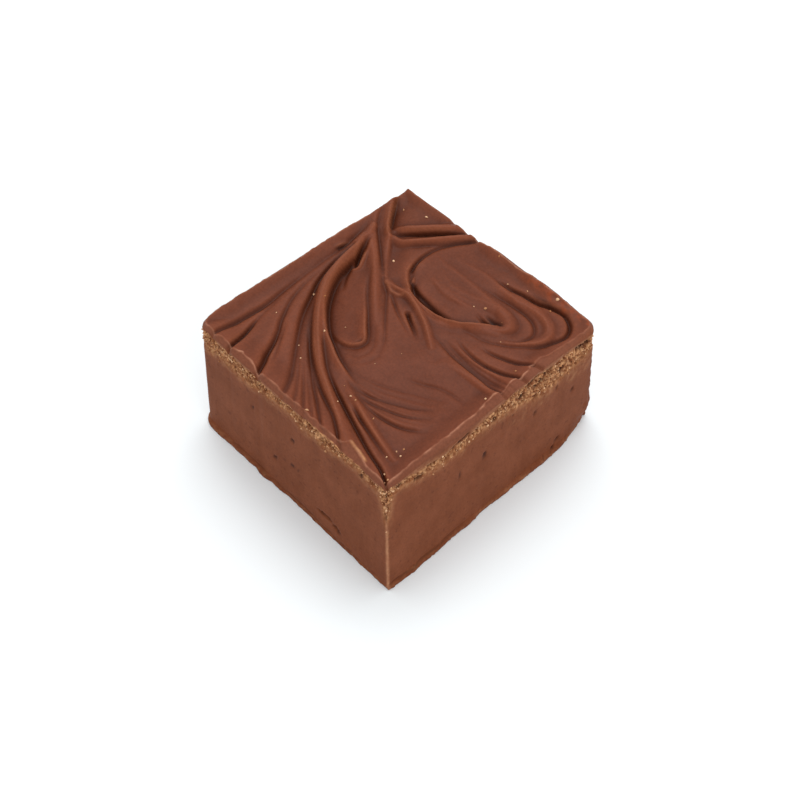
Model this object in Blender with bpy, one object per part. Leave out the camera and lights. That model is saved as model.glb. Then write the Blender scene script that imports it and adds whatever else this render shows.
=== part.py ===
"""One cut block of chocolate fudge with a spatula-swirled top, resting on its flat base.

Frame: the origin is the middle of the base, +Z is up, +X and +Y look out of two neighbouring cut faces.
Strokes of the spatula are drawn in millimetres on the top, seen from above, and every height is measured
from the rim plane. A stroke's points are only those its bend needs; a smooth curve runs through them.
"""
import bpy
import bmesh
import numpy as np

MM = 0.001

# Driving dimensions of the block, in millimetres.
RIM_HEIGHT = 32.3
RIM_CORNERS = np.array([(-29.3, -29.7), (27.8, -29.6), (28.9, 30.4), (-27.9, 29.7)])
BASE_CORNERS = np.array([(-30.2, -32.1), (30.6, -32.0), (30.7, 32.9), (-30.2, 32.4)])
CORNER_RADII = np.array([2.6, 0.5, 3.2, 0.6])

# The cut edge: the skin rises a little towards it over a few millimetres, and the knife rolled its rim down.
EDGE_LIFT = 0.9
EDGE_LIFT_WIDTH = 5.0
EDGE_ROLL = 1.1

# How finely the block is divided: cells along X and Y over the top, and rows down the cut sides.
CELLS_X = 54
CELLS_Y = 58
SIDE_LEVELS = (0.955, 0.86, 0.55, 0.0)
SHARP_ANGLE = np.radians(70)

# The spatula's strokes: how finely their curves are drawn, and how soon they die away past their ends.
CURVE_STEP = 0.8
RUN_OUT = 1.2


def smooth_curve(points):
    """Catmull-Rom curve through the points, sampled about every CURVE_STEP millimetres."""
    points = np.asarray(points, float)
    ends = np.vstack([2 * points[0] - points[1], points, 2 * points[-1] - points[-2]])
    pieces = []
    for p0, p1, p2, p3 in zip(ends, ends[1:], ends[2:], ends[3:]):
        steps = max(2, int(np.hypot(*(p2 - p1)) / CURVE_STEP))
        t = np.linspace(0, 1, steps, endpoint=False)[:, None]
        bend = (2 * p0 - 5 * p1 + 4 * p2 - p3) * t**2 + (3 * p1 - p0 - 3 * p2 + p3) * t**3
        pieces.append(p1 + 0.5 * ((p2 - p0) * t + bend))
    return np.vstack([*pieces, points[-1]])


def follow(places, points, levels, reach):
    """Follows a stroke past the places near it.

    Gives the places within reach, the share of the stroke run at each one's nearest point, the distance
    to the stroke's left, and the stroke's force there: it is read off between equally spaced levels from
    start to end, and dies away over RUN_OUT before the start and past the end.
    """
    curve = smooth_curve(points)
    ahead = (curve[-1] - curve[-2]) / np.hypot(*(curve[-1] - curve[-2]))
    astern = (curve[0] - curve[1]) / np.hypot(*(curve[0] - curve[1]))
    curve = np.vstack([curve[0] + astern * 2 * RUN_OUT, curve, curve[-1] + ahead * 2 * RUN_OUT])
    near = ((places > curve.min(0) - reach) & (places < curve.max(0) + reach)).all(1)
    start = curve[:-1]
    run = np.diff(curve, axis=0)
    length = np.hypot(*run.T)
    offset = places[near][:, None] - start
    share = np.clip((offset * run).sum(2) / length**2, 0, 1)
    gap = np.hypot(*np.moveaxis(offset - share[..., None] * run, 2, 0))
    nearest = gap.argmin(1)
    row = np.arange(len(nearest))
    turn = run[nearest, 0] * offset[row, nearest, 1] - run[nearest, 1] * offset[row, nearest, 0]
    distance = np.where(turn < 0, -1, 1) * gap[row, nearest]
    before = np.concatenate([[0], np.cumsum(length)])
    travel = before[nearest] + share[row, nearest] * length[nearest] - 2 * RUN_OUT
    whole = before[-1] - 4 * RUN_OUT
    beyond = np.clip(np.maximum(-travel, travel - whole) / RUN_OUT, 0, 1)
    along = np.clip(travel / whole, 0, 1)
    force = np.interp(along, np.linspace(0, 1, len(levels)), levels) * (1 - beyond) ** 2
    return near, along, distance, force


def crease(heights, places, points, depth, width):
    """A valley between two ribbons: a wide dip that steepens inwards, with a narrow cut at its bottom."""
    near, along, distance, force = follow(places, points, depth, np.max(width))
    share = np.abs(distance) / np.interp(along, np.linspace(0, 1, np.size(width)), np.atleast_1d(width))
    heights[near] -= force * (0.6 * np.clip(1 - share, 0, 1) ** 2 + 0.4 * np.clip(1 - 2.6 * share, 0, 1))


def ridge(heights, places, points, height, left, right):
    """A round rib that the spatula's edge left standing, with its own width on either side."""
    near, _, distance, force = follow(places, points, height, max(left, right))
    share = np.clip(np.abs(distance) / np.where(distance > 0, left, right), 0, 1)
    heights[near] += force * (1 - share**2) ** 2


def bank(heights, places, points, drop, wall, low, high):
    """A steep bank with the lower ground on the left of the stroke.

    Both sides ease back to level. A fold at the foot and a lip along the top each take a share of the drop.
    """
    near, _, distance, force = follow(places, points, drop, wall + max(low, high))
    side = np.sin(np.clip(distance / wall, -1, 1) * np.pi / 2)
    reach = np.where(distance > 0, low, high)
    ease = np.clip(1 - np.maximum(np.abs(distance) - wall, 0) / reach, 0, 1) ** 2
    fold = 0.16 * np.clip(1 - np.abs(distance - wall) / 0.45, 0, 1)
    lip = 0.1 * np.clip(1 - np.abs(distance + wall) / 0.4, 0, 1)
    heights[near] -= force * (side * ease / 2 + fold - lip)


def hollow(heights, places, centre, size, turn, depth):
    """A soft oval hollow; a negative depth makes a swelling."""
    angle = np.radians(turn)
    x, y = (places - centre).T
    u = (x * np.cos(angle) + y * np.sin(angle)) / size[0]
    v = (y * np.cos(angle) - x * np.sin(angle)) / size[1]
    heights -= depth * np.clip(1 - u**2 - v**2, 0, 1) ** 2


def between(first, second, share):
    """A curve lying part of the way from one guide to the other; both guides have as many points."""
    return (1 - share) * np.array(first, float) + share * np.array(second, float)


def sweep_fan(heights, places):
    """The widest sweep: ribbons that leave the back corner together and spread along the -Y edge."""
    margin = [(-25.3, 16), (-24.7, 7), (-24.3, -2), (-23.9, -9.8)]
    margin += [(-23.4, -15.8), (-23.7, -20.6), (-24.1, -25.9), (-24.3, -31)]
    crease(heights, places, margin, (0.1, 0.6, 0.3, 0.35, 0.7, 1.2, 1.2, 1.1), (0.8, 1.3, 1.7, 1.5))
    crease(heights, places, [(-23.0, -11), (-22.3, -15.5), (-21.7, -19)], (0, 0.35, 0.4), 1.3)
    second = [(-21.6, -19.4), (-20.9, -21.9), (-20.2, -24.4), (-19.6, -26.9), (-18.9, -31)]
    crease(heights, places, second, (0.3, 1.4, 1.8, 2.0, 2.0), (0.7, 1.2, 1.6))
    third = [(-23.4, 2), (-22.2, -6), (-20.8, -11), (-18.0, -16.2)]
    third += [(-16.1, -18.7), (-14.4, -21.5), (-13.0, -24.5), (-11.5, -26.7)]
    crease(heights, places, third + [(-9.2, -31)], (0, 0.3, 0.5, 0.8, 1.4, 1.9, 2.1), (0.8, 1.4, 2.0))
    crease(
        heights, places, [(-17.0, -15.5), (-15.1, -18.4), (-12.6, -22), (-10.0, -26)],
        (0, 0.6, 0.6, 0), 0.7,
    )
    fourth = [(-23.2, 9), (-22.6, 4), (-21.3, -1.8)]
    fourth += [(-19.0, -6.9), (-15.6, -12.7), (-10.5, -18.7), (-6.6, -23)]
    fourth += [(-3.5, -27), (-1.6, -31)]
    fifth = [(-22.3, 7), (-21.5, 2.4), (-19.4, -3.9)]
    fifth += [(-16.8, -8.1), (-13.2, -12.4), (-8.0, -17.3), (-2.4, -21.5)]
    fifth += [(3.5, -25.4), (11, -30.4)]
    crease(heights, places, fourth, (1.0, 1.5, 1.4, 1.2, 1.0, 0.8, 0.7), (0.9, 1.9, 2.0))
    crease(heights, places, fifth, (0, 0.2, 0.7, 0.9, 1.0, 0.9, 0.7), (0.6, 1.0, 1.1))
    for share, depth in ((0.3, 0.5), (0.55, 0.6), (0.78, 0.5)):
        crease(heights, places, between(fourth, fifth, share), (0, 0, 0.5 * depth, depth, depth), 1.0)


def sweep_bundle(heights, places):
    """The thick twisted rib beside the fan, which runs on to the front corner between two deep valleys."""
    crest = [(-24.6, 16), (-22.3, 8), (-20.9, 2.4), (-19.1, -2.9)]
    crest += [(-15.6, -8.0), (-10.6, -13), (-3.8, -18), (4.1, -22.2)]
    crest += [(10.5, -25.2), (16.0, -27.6)]
    ridge(heights, places, crest, (0.6, 1.5, 1.7, 1.6, 1.3, 1.0, 0.4), 1.6, 2.0)
    strand = [(-20.4, 1.2), (-18.6, -4.0), (-15.0, -9.0), (-10.0, -13.9), (-4.0, -18.4)]
    crease(heights, places, strand, (0, 0.5, 0.6, 0.4, 0), 0.5)
    lower = [(-18.6, -5.2), (-14.4, -10.6), (-8.4, -16.5), (-3.4, -20.0)]
    lower += [(1.2, -22.5), (5.8, -24.3), (9.7, -26.1), (17, -31)]
    upper = [(-9.0, -13.1), (-3.5, -17.0), (-0.5, -18.8), (3.3, -20.4)]
    upper += [(11.3, -23.2), (19.0, -25.9), (24.0, -27.3), (28.8, -29.8)]
    crease(heights, places, lower, (0, 0.6, 1.0, 1.2, 1.2, 0.9), 0.8)
    crease(heights, places, upper, (0, 1.0, 1.6, 1.7, 1.6, 2.2), (0.6, 0.9, 0.9, 0.8))
    crease(
        heights, places, [(-6.4, -16.3), (-1.7, -18.9), (3.1, -21.1), (7.5, -23.1), (11.1, -24.6)],
        (0, 0.6, 0.6, 0), 0.6,
    )
    crease(
        heights, places, [(8.6, -20.5), (12.1, -21.8), (16.1, -22.8), (20.0, -23.8), (22.7, -24.6)],
        (0.1, 1.2, 1.0, 0.6, 0), 0.7,
    )
    ridge(
        heights, places, [(4, -18.4), (9.8, -20.1), (14, -21.5), (18.3, -22.7), (24, -23.9)],
        (0, 0.7, 0.7, 0.4), 1.3, 0.9,
    )


def press_leaf(heights, places):
    """The leaf-shaped hollow pressed beside the bundle, with its curled end and the rings round it."""
    foot = [(-22.8, 12.8), (-20.8, 8.0), (-19.9, 4.6), (-19.0, 1.0)]
    foot += [(-17.2, -2.9), (-14.6, -6.5), (-11.8, -9.2), (-8.7, -11.5)]
    foot += [(-5.4, -13.1), (-1.2, -14.9), (5.5, -16.6)]
    bank(heights, places, foot, (0.2, 0.6, 1.5, 2.3, 2.7, 2.6, 2.4, 1.8, 1.0, 0), 0.4, 9.0, 3.0)
    crease(heights, places, foot[1:], (0, 0.3, 0.5, 0.5, 0.5, 0.5, 0.4, 0.3, 0), 0.9)
    crease(heights, places, [(-19.4, 4.7), (-18.0, 1.6), (-15.4, -1.4)], (1.0, 0.8, 0), 0.9)
    crease(
        heights, places, [(-21.9, 10.6), (-21.0, 8.9), (-20.0, 7.2), (-19.1, 5.8), (-18.6, 5.0)],
        (0.3, 1.8, 2.6, 2.4, 1.4), (0.5, 0.8, 0.9),
    )
    ridge(
        heights, places, [(-21.2, 12.0), (-19.6, 9.0), (-18.5, 6.8), (-17.8, 5.3), (-18.3, 4.3)],
        (0.2, 0.6, 0.7, 0.5), 0.6, 0.6,
    )
    curl = [(-18.9, 9.6), (-15.0, 5.7), (-11.6, 1.7), (-7.5, -1.9)]
    curl += [(-4.4, -4.8), (-2.6, -6.4), (-1.6, -7.8), (-1.9, -9.5)]
    curl += [(-3.2, -10.8), (-5.4, -11.3), (-8.0, -11.0)]
    bank(heights, places, curl, (0.2, 0.25, 0.3, 0.35, 0.5, 1.0, 1.3, 0.9, 0.6, 0.1), 0.35, 3.0, 2.4)
    crease(heights, places, [(-2.9, -6.9), (-2.3, -8.1), (-2.9, -9.4)], (0.2, 0.9, 0.2), 0.6)
    first = [(-4.8, -2.4), (-1.2, -5.4), (0.9, -8.4), (0.2, -11.4), (-3.6, -13.0)]
    second = [(-3.4, -0.6), (1.2, -4.6), (3.6, -8.6), (2.6, -12.2), (-0.4, -14.4)]
    for share, depth in ((0, 0.2), (0.8, 0.12)):
        crease(heights, places, between(first, second, share), (0, 0.6 * depth, depth, depth, 0), 1.1)


def sweep_crown(heights, places):
    """The lips and twin ribs that leave the back corner and turn to the +Y edge."""
    lip = [(-29, 28), (-27.6, 26.4), (-26.6, 24.4)]
    lip += [(-25.2, 22.4), (-23.5, 20.2), (-21.8, 18.2), (-20.6, 16.9)]
    bank(heights, places, lip, (0, 0.2, 1.5, 2.4, 2.5, 2.0, 1.0), 0.35, 5.0, 2.6)
    ridge(
        heights, places, [(-21.4, 18.0), (-18.5, 15), (-15.5, 11.6), (-11.8, 7.6)],
        (0.8, 0.6, 0.3, 0.4), 0.6, 1.6,
    )
    root = [(-29.4, 22.0), (-25.2, 17.2), (-22.0, 13.2)]
    root += [(-17.5, 9.4), (-12.0, 4.6), (-7.0, -0.2), (-3.0, -4.2)]
    ridge(heights, places, root, (0, 0.5, 0.9, 1.0, 0.9, 0.6, 0), 1.9, 1.6)
    seam = [(-27.1, 21.1), (-25.6, 18.6), (-23.6, 16.3)]
    seam += [(-20.1, 13.5), (-16.0, 10.3), (-12.0, 7.2), (-8.8, 4.6)]
    crease(heights, places, seam, (0.2, 0.7, 0.9, 0.7, 0.4, 0.2), 0.7)
    rib = [(-20.8, 18.8), (-19.0, 20.0), (-17.0, 21.9), (-14.6, 24.7), (-12.2, 27.4), (-10.4, 29.9)]
    ridge(heights, places, rib, (0.5, 1.2, 1.4, 1.4, 1.1, 0.4), 1.8, 1.6)
    fold = [(-19.6, 17.4), (-18.3, 18.6), (-16.1, 20.8), (-13.7, 23.6), (-11.1, 26.4), (-8.4, 29.4)]
    crease(heights, places, fold, (0.6, 1.6, 1.9, 1.8, 1.4, 0.6), 0.6)
    twin = [(-21, 18), (-18.9, 17.0), (-16.9, 17.2), (-14.6, 19.3), (-12.2, 22.3), (-10.0, 25.5), (-6.8, 30)]
    ridge(heights, places, twin, (0.3, 0.8, 1.1, 1.1, 0.9, 0.4), 1.0, 1.8)
    crease(
        heights, places, [(-15.8, 16.1), (-13.7, 18.4), (-11.7, 20.8), (-9.9, 23)],
        (0, 0.5, 0.5, 0.2), 0.9,
    )
    rim = [(-7.7, 10.4), (-9.2, 12.4), (-9.9, 14.3), (-10.4, 17)]
    rim += [(-10.1, 20.6), (-8.6, 24.6), (-6.3, 28.3), (-4.8, 30.6)]
    crease(heights, places, rim, (0.8, 1.6, 1.3, 0.8, 0.7, 0.9, 1.2, 0.6), (0.8, 1.2))
    ridge(heights, places, [(-7.4, 11.6), (-6.6, 10.3), (-6.0, 8.9)], (0.6, 1.0, 0.6), 0.45, 0.45)
    hollow(heights, places, (-15.5, 13.5), (7.5, 4.0), -52, 0.8)


def turn_loop(heights, places):
    """The loop near the +X +Y corner: a spoon-like floor, ribs that turn back on themselves, a deep rim."""
    crest = [(-10, 13.8), (-8, 11.2), (-6.3, 9.3), (-3.5, 8.2)]
    crest += [(1.5, 7.9), (6.5, 8.5), (10, 10.9), (14.0, 14.8)]
    bank(heights, places, crest, (0.4, 1.6, 2.6, 2.9, 2.5, 1.5, 0.8), 0.35, 9.0, 2.4)
    crease(
        heights, places, [(-6.2, 10.2), (-3.4, 8.8), (1.5, 8.5), (6.0, 8.9), (9.0, 10.6)],
        (0.5, 0.8, 1.1, 0.8, 0), 1.0,
    )
    crease(
        heights, places, [(8.3, 14.3), (9.7, 14.0), (11.9, 13.9), (13.7, 14.4)],
        (0, 0.5, 1.9, 1.0), (0.5, 0.7, 0.8),
    )
    broad = [(3, 17.2), (9, 17.8), (14.0, 17.8), (16.4, 15.8), (14.8, 12.8), (9.5, 10.2)]
    ridge(heights, places, broad, (0, 0.3, 0.6, 0.7, 0.5, 0.2), 2.0, 2.0)
    outer = [(4, 22), (11, 22.8), (18, 23.4), (22.4, 21.8), (23.6, 18.6), (21.4, 14.8), (16.5, 11.8)]
    ridge(heights, places, outer, (0.1, 0.3, 0.7, 0.8, 0.7, 0.4, 0), 1.6, 1.6)
    inner = [(8, 18.2), (12.5, 19.2), (16.6, 18.9), (18.3, 16.8), (17.0, 14.0), (12.0, 11.4)]
    crease(heights, places, inner, (0, 0.1, 0.2, 0.25, 0.2, 0), 0.8)
    main = [(3, 20.2), (8, 20.5), (11.4, 20.9), (15.3, 21.2)]
    main += [(18.4, 20.8), (20.4, 19.5), (21.3, 17.6), (20.4, 14.9), (17.0, 12.2)]
    crease(heights, places, main, (0, 0.2, 0.5, 0.7, 0.9, 0.8, 0.6, 0.4, 0), 0.9)
    crease(
        heights, places, [(10, 22.9), (15, 23.4), (19.6, 23.6), (22.5, 21.9), (23.2, 19), (21.4, 15.6)],
        (0, 0.25, 0.35, 0.3, 0), 0.7,
    )
    rim = [(5.5, 23.8), (9.2, 24.3), (11.8, 24.9), (15.7, 25.5)]
    rim += [(18.8, 26.6), (21.8, 27.1), (24.7, 25.6), (26.1, 22.8)]
    rim += [(25.4, 19.6), (23.8, 16.4), (19.6, 12.4), (15.2, 9.9), (9.8, 8.9)]
    depths = (0.1, 1.4, 1.6, 1.8, 1.7, 1.3, 0.9, 0.7, 0.5, 0.3, 0.2)
    crease(heights, places, rim, depths, (1.0, 1.2, 1.2, 0.8, 0.7))
    for shift in (1.2, 2.4, 3.8):
        line = [(-7.5, 15 + shift), (0, 12.2 + shift), (8, 13.8 + shift), (13, 15.4 + shift)]
        ridge(heights, places, line, (0, 0.1, 0.12, 0), 0.5, 0.8)
    hollow(heights, places, (13, 31), (13, 5), 0, -1.5)
    hollow(heights, places, (0.5, 31), (8, 5), 0, -1.5)


def sweep_junction(heights, places):
    """The crown of the top, where three sweeps meet, and the ribs that run from it to the +X edge."""
    meeting = [(-11.6, 7), (-8.6, 6.5), (-6.0, 6.7), (-3.2, 6.6), (0.6, 5.4), (4, 3.9), (9.2, 0.6)]
    ridge(heights, places, meeting, (0.3, 0.9, 1.0, 0.9, 0.7, 0.3), 1.3, 0.8)
    crease(heights, places, [(-0.8, 3.6), (1.4, 2.4), (3.5, 1.3), (5.6, 0)], (2.2, 1.5, 0.7, 0), (0.75, 1.0))
    crease(
        heights, places, [(-7.6, 5.2), (-4.7, 3.5), (-2.2, 2.2), (0.6, 1.1), (4.7, -0.4)],
        (0.2, 0.9, 0.6, 0.4, 0), 0.6,
    )
    crease(
        heights, places, [(-10.4, 6.4), (-7.6, 3.9), (-4.9, 1.1), (-2.2, -1.6), (0.8, -4.6), (2.6, -8)],
        (0.3, 0.7, 0.7, 0.6, 0.3, 0), 0.55,
    )
    ribs = (
        ([(28.3, 13.0), (25.8, 11.8), (23.5, 10.3), (19.2, 8.6), (15.6, 7.9)], 1.1),
        ([(28.3, 8.4), (26.4, 7.5), (22.8, 6.1), (18.7, 5.2), (14.5, 5.3), (10.6, 6.2)], 1.2),
        ([(28.3, 2.6), (25.0, 2.1), (21.9, 2.3), (17.6, 2.4), (13.0, 2.5), (6.5, 3.6)], 1.0),
    )
    for points, depth in ribs:
        crease(heights, places, points, (1.2 * depth, depth, depth, 0.7 * depth, 0), (1.1, 0.9, 0.8))
    crease(heights, places, [(28.3, 3.6), (20, 3.2), (14, 3.5), (8, 4.2)], (0.8, 0.9, 0.8, 0), 2.2)
    crease(heights, places, [(28.3, 4.8), (23.9, 4.5), (19.1, 4.1), (13.9, 4.1)], (0.5, 0.6, 0.5, 0), 0.7)
    ridge(heights, places, [(27, 0.9), (21, 0.9), (16, 0.6), (12.5, -0.6)], (0.5, 0.5, 0.3, 0), 1.1, 2.0)


def comb_arcs(heights, places):
    """Shallow arcs that the blade combed over the broad floor by the front corner."""
    near = [(22.8, -15.2), (19.8, -17.4), (14.2, -18.8), (7.5, -18.4), (2.0, -16.6)]
    far = [(22, -6.0), (15, -9.4), (9, -12.8), (4, -14.6), (-1, -15.4)]
    arcs = ((0, 0.45), (0.2, 0.4), (0.32, 0.2), (0.45, 0.25), (0.66, 0.25), (0.82, 0.15), (1, 0.25))
    for share, depth in arcs:
        crease(heights, places, between(near, far, share), (0, 0.7 * depth, depth, 0.8 * depth, 0), 0.8)
    crease(
        heights, places, [(25, -4.6), (21.5, -4.5), (17.8, -5.0), (13.7, -7.0), (10.4, -8.6)],
        (0, 0.3, 0.35, 0.3, 0), 0.7,
    )
    hollow(heights, places, (14, -10), (15, 8), 35, 0.9)


def swirl(places):
    """Height of the top over the rim plane, in millimetres, at places given as (x, y) rows."""
    heights = np.zeros(len(places))
    for stroke in (sweep_fan, sweep_bundle, press_leaf, sweep_crown, turn_loop, sweep_junction, comb_arcs):
        stroke(heights, places)
    return heights


def mean_swirl(places):
    """Height of the swirl averaged over a patch as wide as a cell, so that no rib falls between two cells."""
    shifts = np.array([-1, 0, 1]) * (RIM_CORNERS[1, 0] - RIM_CORNERS[0, 0]) / CELLS_X / 3
    patch = np.stack(np.meshgrid(shifts, shifts), -1).reshape(-1, 2)
    return swirl((places[:, None] + patch).reshape(-1, 2)).reshape(len(places), -1).mean(1)


def edge_lift(square):
    """The skin stands a little proud near the cut edges; it rises towards each edge over EDGE_LIFT_WIDTH."""
    half_width = (RIM_CORNERS[1] - RIM_CORNERS[0])[0] / 2
    gap = (1 - np.abs(square).max(1)) * half_width
    share = np.clip(1 - gap / EDGE_LIFT_WIDTH, 0, 1)
    return EDGE_LIFT * share * share * (3 - 2 * share)


def outline(places_in_square, level):
    """Place in the block's plan at a height share: the square is laid over four corners, each rounded off."""
    u, v = np.array(places_in_square, float).T
    corners = BASE_CORNERS + (RIM_CORNERS - BASE_CORNERS) * level[:, None, None]
    for radius, (toward_x, toward_y) in zip(CORNER_RADII, ((-1, -1), (1, -1), (1, 1), (-1, 1))):
        across_x = radius / (RIM_CORNERS[1, 0] - RIM_CORNERS[0, 0]) * 2
        across_y = radius / (RIM_CORNERS[2, 1] - RIM_CORNERS[1, 1]) * 2
        p = 1 - (1 - toward_x * u) / across_x
        q = 1 - (1 - toward_y * v) / across_y
        inside = (p > 0) & (q > 0)
        pull = np.where(inside, np.maximum(p, q) / np.maximum(np.hypot(p, q), 1e-9), 1)
        u = np.where(inside, toward_x * (1 - (1 - p * pull) * across_x), u)
        v = np.where(inside, toward_y * (1 - (1 - q * pull) * across_y), v)
    weights = np.stack([(1 - u) * (1 - v), (1 + u) * (1 - v), (1 + u) * (1 + v), (1 - u) * (1 + v)], 1) / 4
    return (weights[..., None] * corners).sum(1)


def block_mesh():
    """A grid over the top whose rim is drawn down the four cut sides and closed flat underneath."""
    shape = bmesh.new()
    bmesh.ops.create_grid(shape, x_segments=CELLS_X, y_segments=CELLS_Y, size=1)
    level_of = shape.verts.layers.float.new("level")
    for vertex in shape.verts:
        vertex[level_of] = 1
    border = [edge for edge in shape.edges if edge.is_boundary]
    for level in SIDE_LEVELS:
        drawn = bmesh.ops.extrude_edge_only(shape, edges=border)["geom"]
        for vertex in drawn:
            if isinstance(vertex, bmesh.types.BMVert):
                vertex[level_of] = level
        border = [edge for edge in drawn if isinstance(edge, bmesh.types.BMEdge) and edge.is_boundary]
    bmesh.ops.holes_fill(shape, edges=border)

    square = np.array([vertex.co[:2] for vertex in shape.verts])
    level = np.array([vertex[level_of] for vertex in shape.verts])
    over_rim = outline(square, np.ones(len(level)))
    on_edge = np.abs(square).max(1) > 1 - 1e-6
    top = RIM_HEIGHT + mean_swirl(over_rim) + edge_lift(square) - EDGE_ROLL * on_edge
    place = outline(square, level)
    for vertex, (x, y), z in zip(shape.verts, place, top * level):
        vertex.co = (x * MM, y * MM, z * MM)
    bmesh.ops.recalc_face_normals(shape, faces=shape.faces)

    mesh = bpy.data.meshes.new("fudge_block")
    shape.to_mesh(mesh)
    shape.free()
    mesh.shade_smooth()
    mesh.set_sharp_from_angle(angle=SHARP_ANGLE)
    return mesh


def fudge_material():
    """Set milk-chocolate fudge: warm brown, satin, not metallic."""
    material = bpy.data.materials.new("chocolate_fudge")
    material.use_nodes = True
    shader = material.node_tree.nodes["Principled BSDF"]
    shader.inputs["Base Color"].default_value = (0.165, 0.054, 0.031, 1)
    shader.inputs["Roughness"].default_value = 0.5
    shader.inputs["Metallic"].default_value = 0.0
    return material


for old in list(bpy.data.objects):
    bpy.data.objects.remove(old, do_unlink=True)

parts = bpy.data.collections.new("chocolate_fudge")
bpy.context.scene.collection.children.link(parts)
block = bpy.data.objects.new("fudge_block", block_mesh())
block.data.materials.append(fudge_material())
parts.objects.link(block)
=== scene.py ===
import bpy
import numpy as np
from mathutils import Matrix, Vector


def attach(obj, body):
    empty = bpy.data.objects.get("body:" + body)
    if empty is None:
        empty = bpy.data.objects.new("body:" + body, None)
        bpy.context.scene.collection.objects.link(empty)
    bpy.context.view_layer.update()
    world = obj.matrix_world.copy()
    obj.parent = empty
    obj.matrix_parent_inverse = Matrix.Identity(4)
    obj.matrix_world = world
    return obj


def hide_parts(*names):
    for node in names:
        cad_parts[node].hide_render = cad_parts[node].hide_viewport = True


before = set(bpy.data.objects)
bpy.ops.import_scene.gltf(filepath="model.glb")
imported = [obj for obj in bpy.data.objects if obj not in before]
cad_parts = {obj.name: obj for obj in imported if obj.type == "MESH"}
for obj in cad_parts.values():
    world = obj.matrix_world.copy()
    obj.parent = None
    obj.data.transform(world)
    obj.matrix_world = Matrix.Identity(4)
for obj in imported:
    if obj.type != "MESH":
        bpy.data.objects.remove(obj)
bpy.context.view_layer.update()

MM = 0.001


# The block: chocolate fudge cooked, beaten and poured as a slab, then cut with a knife that was pressed
# straight down. The top is its dense skin, swirled with a spatula while it set. The cut broke the dry sugar
# just under that skin into a band of crumbs, and left smooth faces below it.

# Millimetres. Corners come in the order -X -Y, +X -Y, +X +Y, -X +Y.
RIM_HEIGHT = 32.3
RIM_CORNERS = np.array([(-29.3, -29.7), (27.8, -29.6), (28.9, 30.4), (-27.9, 29.7)])
BASE_CORNERS = np.array([(-30.2, -32.1), (30.6, -32), (30.7, 32.9), (-30.2, 32.4)])
CORNER_RADII = np.array([2.6, 0.5, 3.2, 0.6])

# How finely the spatula's strokes are drawn, and how far they run out past their ends.
CURVE_STEP = 0.8
RUN_OUT = 1.2


def smooth_curve(points):
    """Catmull-Rom curve through the points, sampled about every CURVE_STEP millimetres."""
    points = np.asarray(points, float)
    ends = np.vstack([2 * points[0] - points[1], points, 2 * points[-1] - points[-2]])
    pieces = []
    for p0, p1, p2, p3 in zip(ends, ends[1:], ends[2:], ends[3:]):
        steps = max(2, int(np.hypot(*(p2 - p1)) / CURVE_STEP))
        t = np.linspace(0, 1, steps, endpoint=False)[:, None]
        bend = (2 * p0 - 5 * p1 + 4 * p2 - p3) * t**2 + (3 * p1 - p0 - 3 * p2 + p3) * t**3
        pieces.append(p1 + 0.5 * ((p2 - p0) * t + bend))
    return np.vstack([*pieces, points[-1]])


def follow(places, points, levels, reach):
    """Follows a stroke past the places near it.

    Gives the places within reach, the share of the stroke run at each one's nearest point, the distance
    to the stroke's left, and the stroke's force there: it is read off between equally spaced levels from
    start to end, and dies away over RUN_OUT before the start and past the end.
    """
    curve = smooth_curve(points)
    ahead = (curve[-1] - curve[-2]) / np.hypot(*(curve[-1] - curve[-2]))
    astern = (curve[0] - curve[1]) / np.hypot(*(curve[0] - curve[1]))
    curve = np.vstack([curve[0] + astern * 2 * RUN_OUT, curve, curve[-1] + ahead * 2 * RUN_OUT])
    near = ((places > curve.min(0) - reach) & (places < curve.max(0) + reach)).all(1)
    start = curve[:-1]
    run = np.diff(curve, axis=0)
    length = np.hypot(*run.T)
    offset = places[near][:, None] - start
    share = np.clip((offset * run).sum(2) / length**2, 0, 1)
    gap = np.hypot(*np.moveaxis(offset - share[..., None] * run, 2, 0))
    nearest = gap.argmin(1)
    row = np.arange(len(nearest))
    turn = run[nearest, 0] * offset[row, nearest, 1] - run[nearest, 1] * offset[row, nearest, 0]
    distance = np.where(turn < 0, -1, 1) * gap[row, nearest]
    before = np.concatenate([[0], np.cumsum(length)])
    travel = before[nearest] + share[row, nearest] * length[nearest] - 2 * RUN_OUT
    whole = before[-1] - 4 * RUN_OUT
    beyond = np.clip(np.maximum(-travel, travel - whole) / RUN_OUT, 0, 1)
    along = np.clip(travel / whole, 0, 1)
    force = np.interp(along, np.linspace(0, 1, len(levels)), levels) * (1 - beyond) ** 2
    return near, along, distance, force


# The strokes below work on a pair: the heights of the top so far, and their places.
def crease(top, points, depth, width):
    """A valley between two ribbons: a wide dip that steepens inwards, with a narrow cut at its bottom."""
    heights, places = top
    near, along, distance, force = follow(places, points, depth, np.max(width))
    share = np.abs(distance) / np.interp(along, np.linspace(0, 1, np.size(width)), np.atleast_1d(width))
    heights[near] -= force * (0.6 * np.clip(1 - share, 0, 1) ** 2 + 0.4 * np.clip(1 - 2.6 * share, 0, 1))


def ridge(top, points, height, left, right):
    """A round rib that the spatula's edge left standing, with its own width on either side."""
    heights, places = top
    near, _, distance, force = follow(places, points, height, max(left, right))
    share = np.clip(np.abs(distance) / np.where(distance > 0, left, right), 0, 1)
    heights[near] += force * (1 - share**2) ** 2


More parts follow.
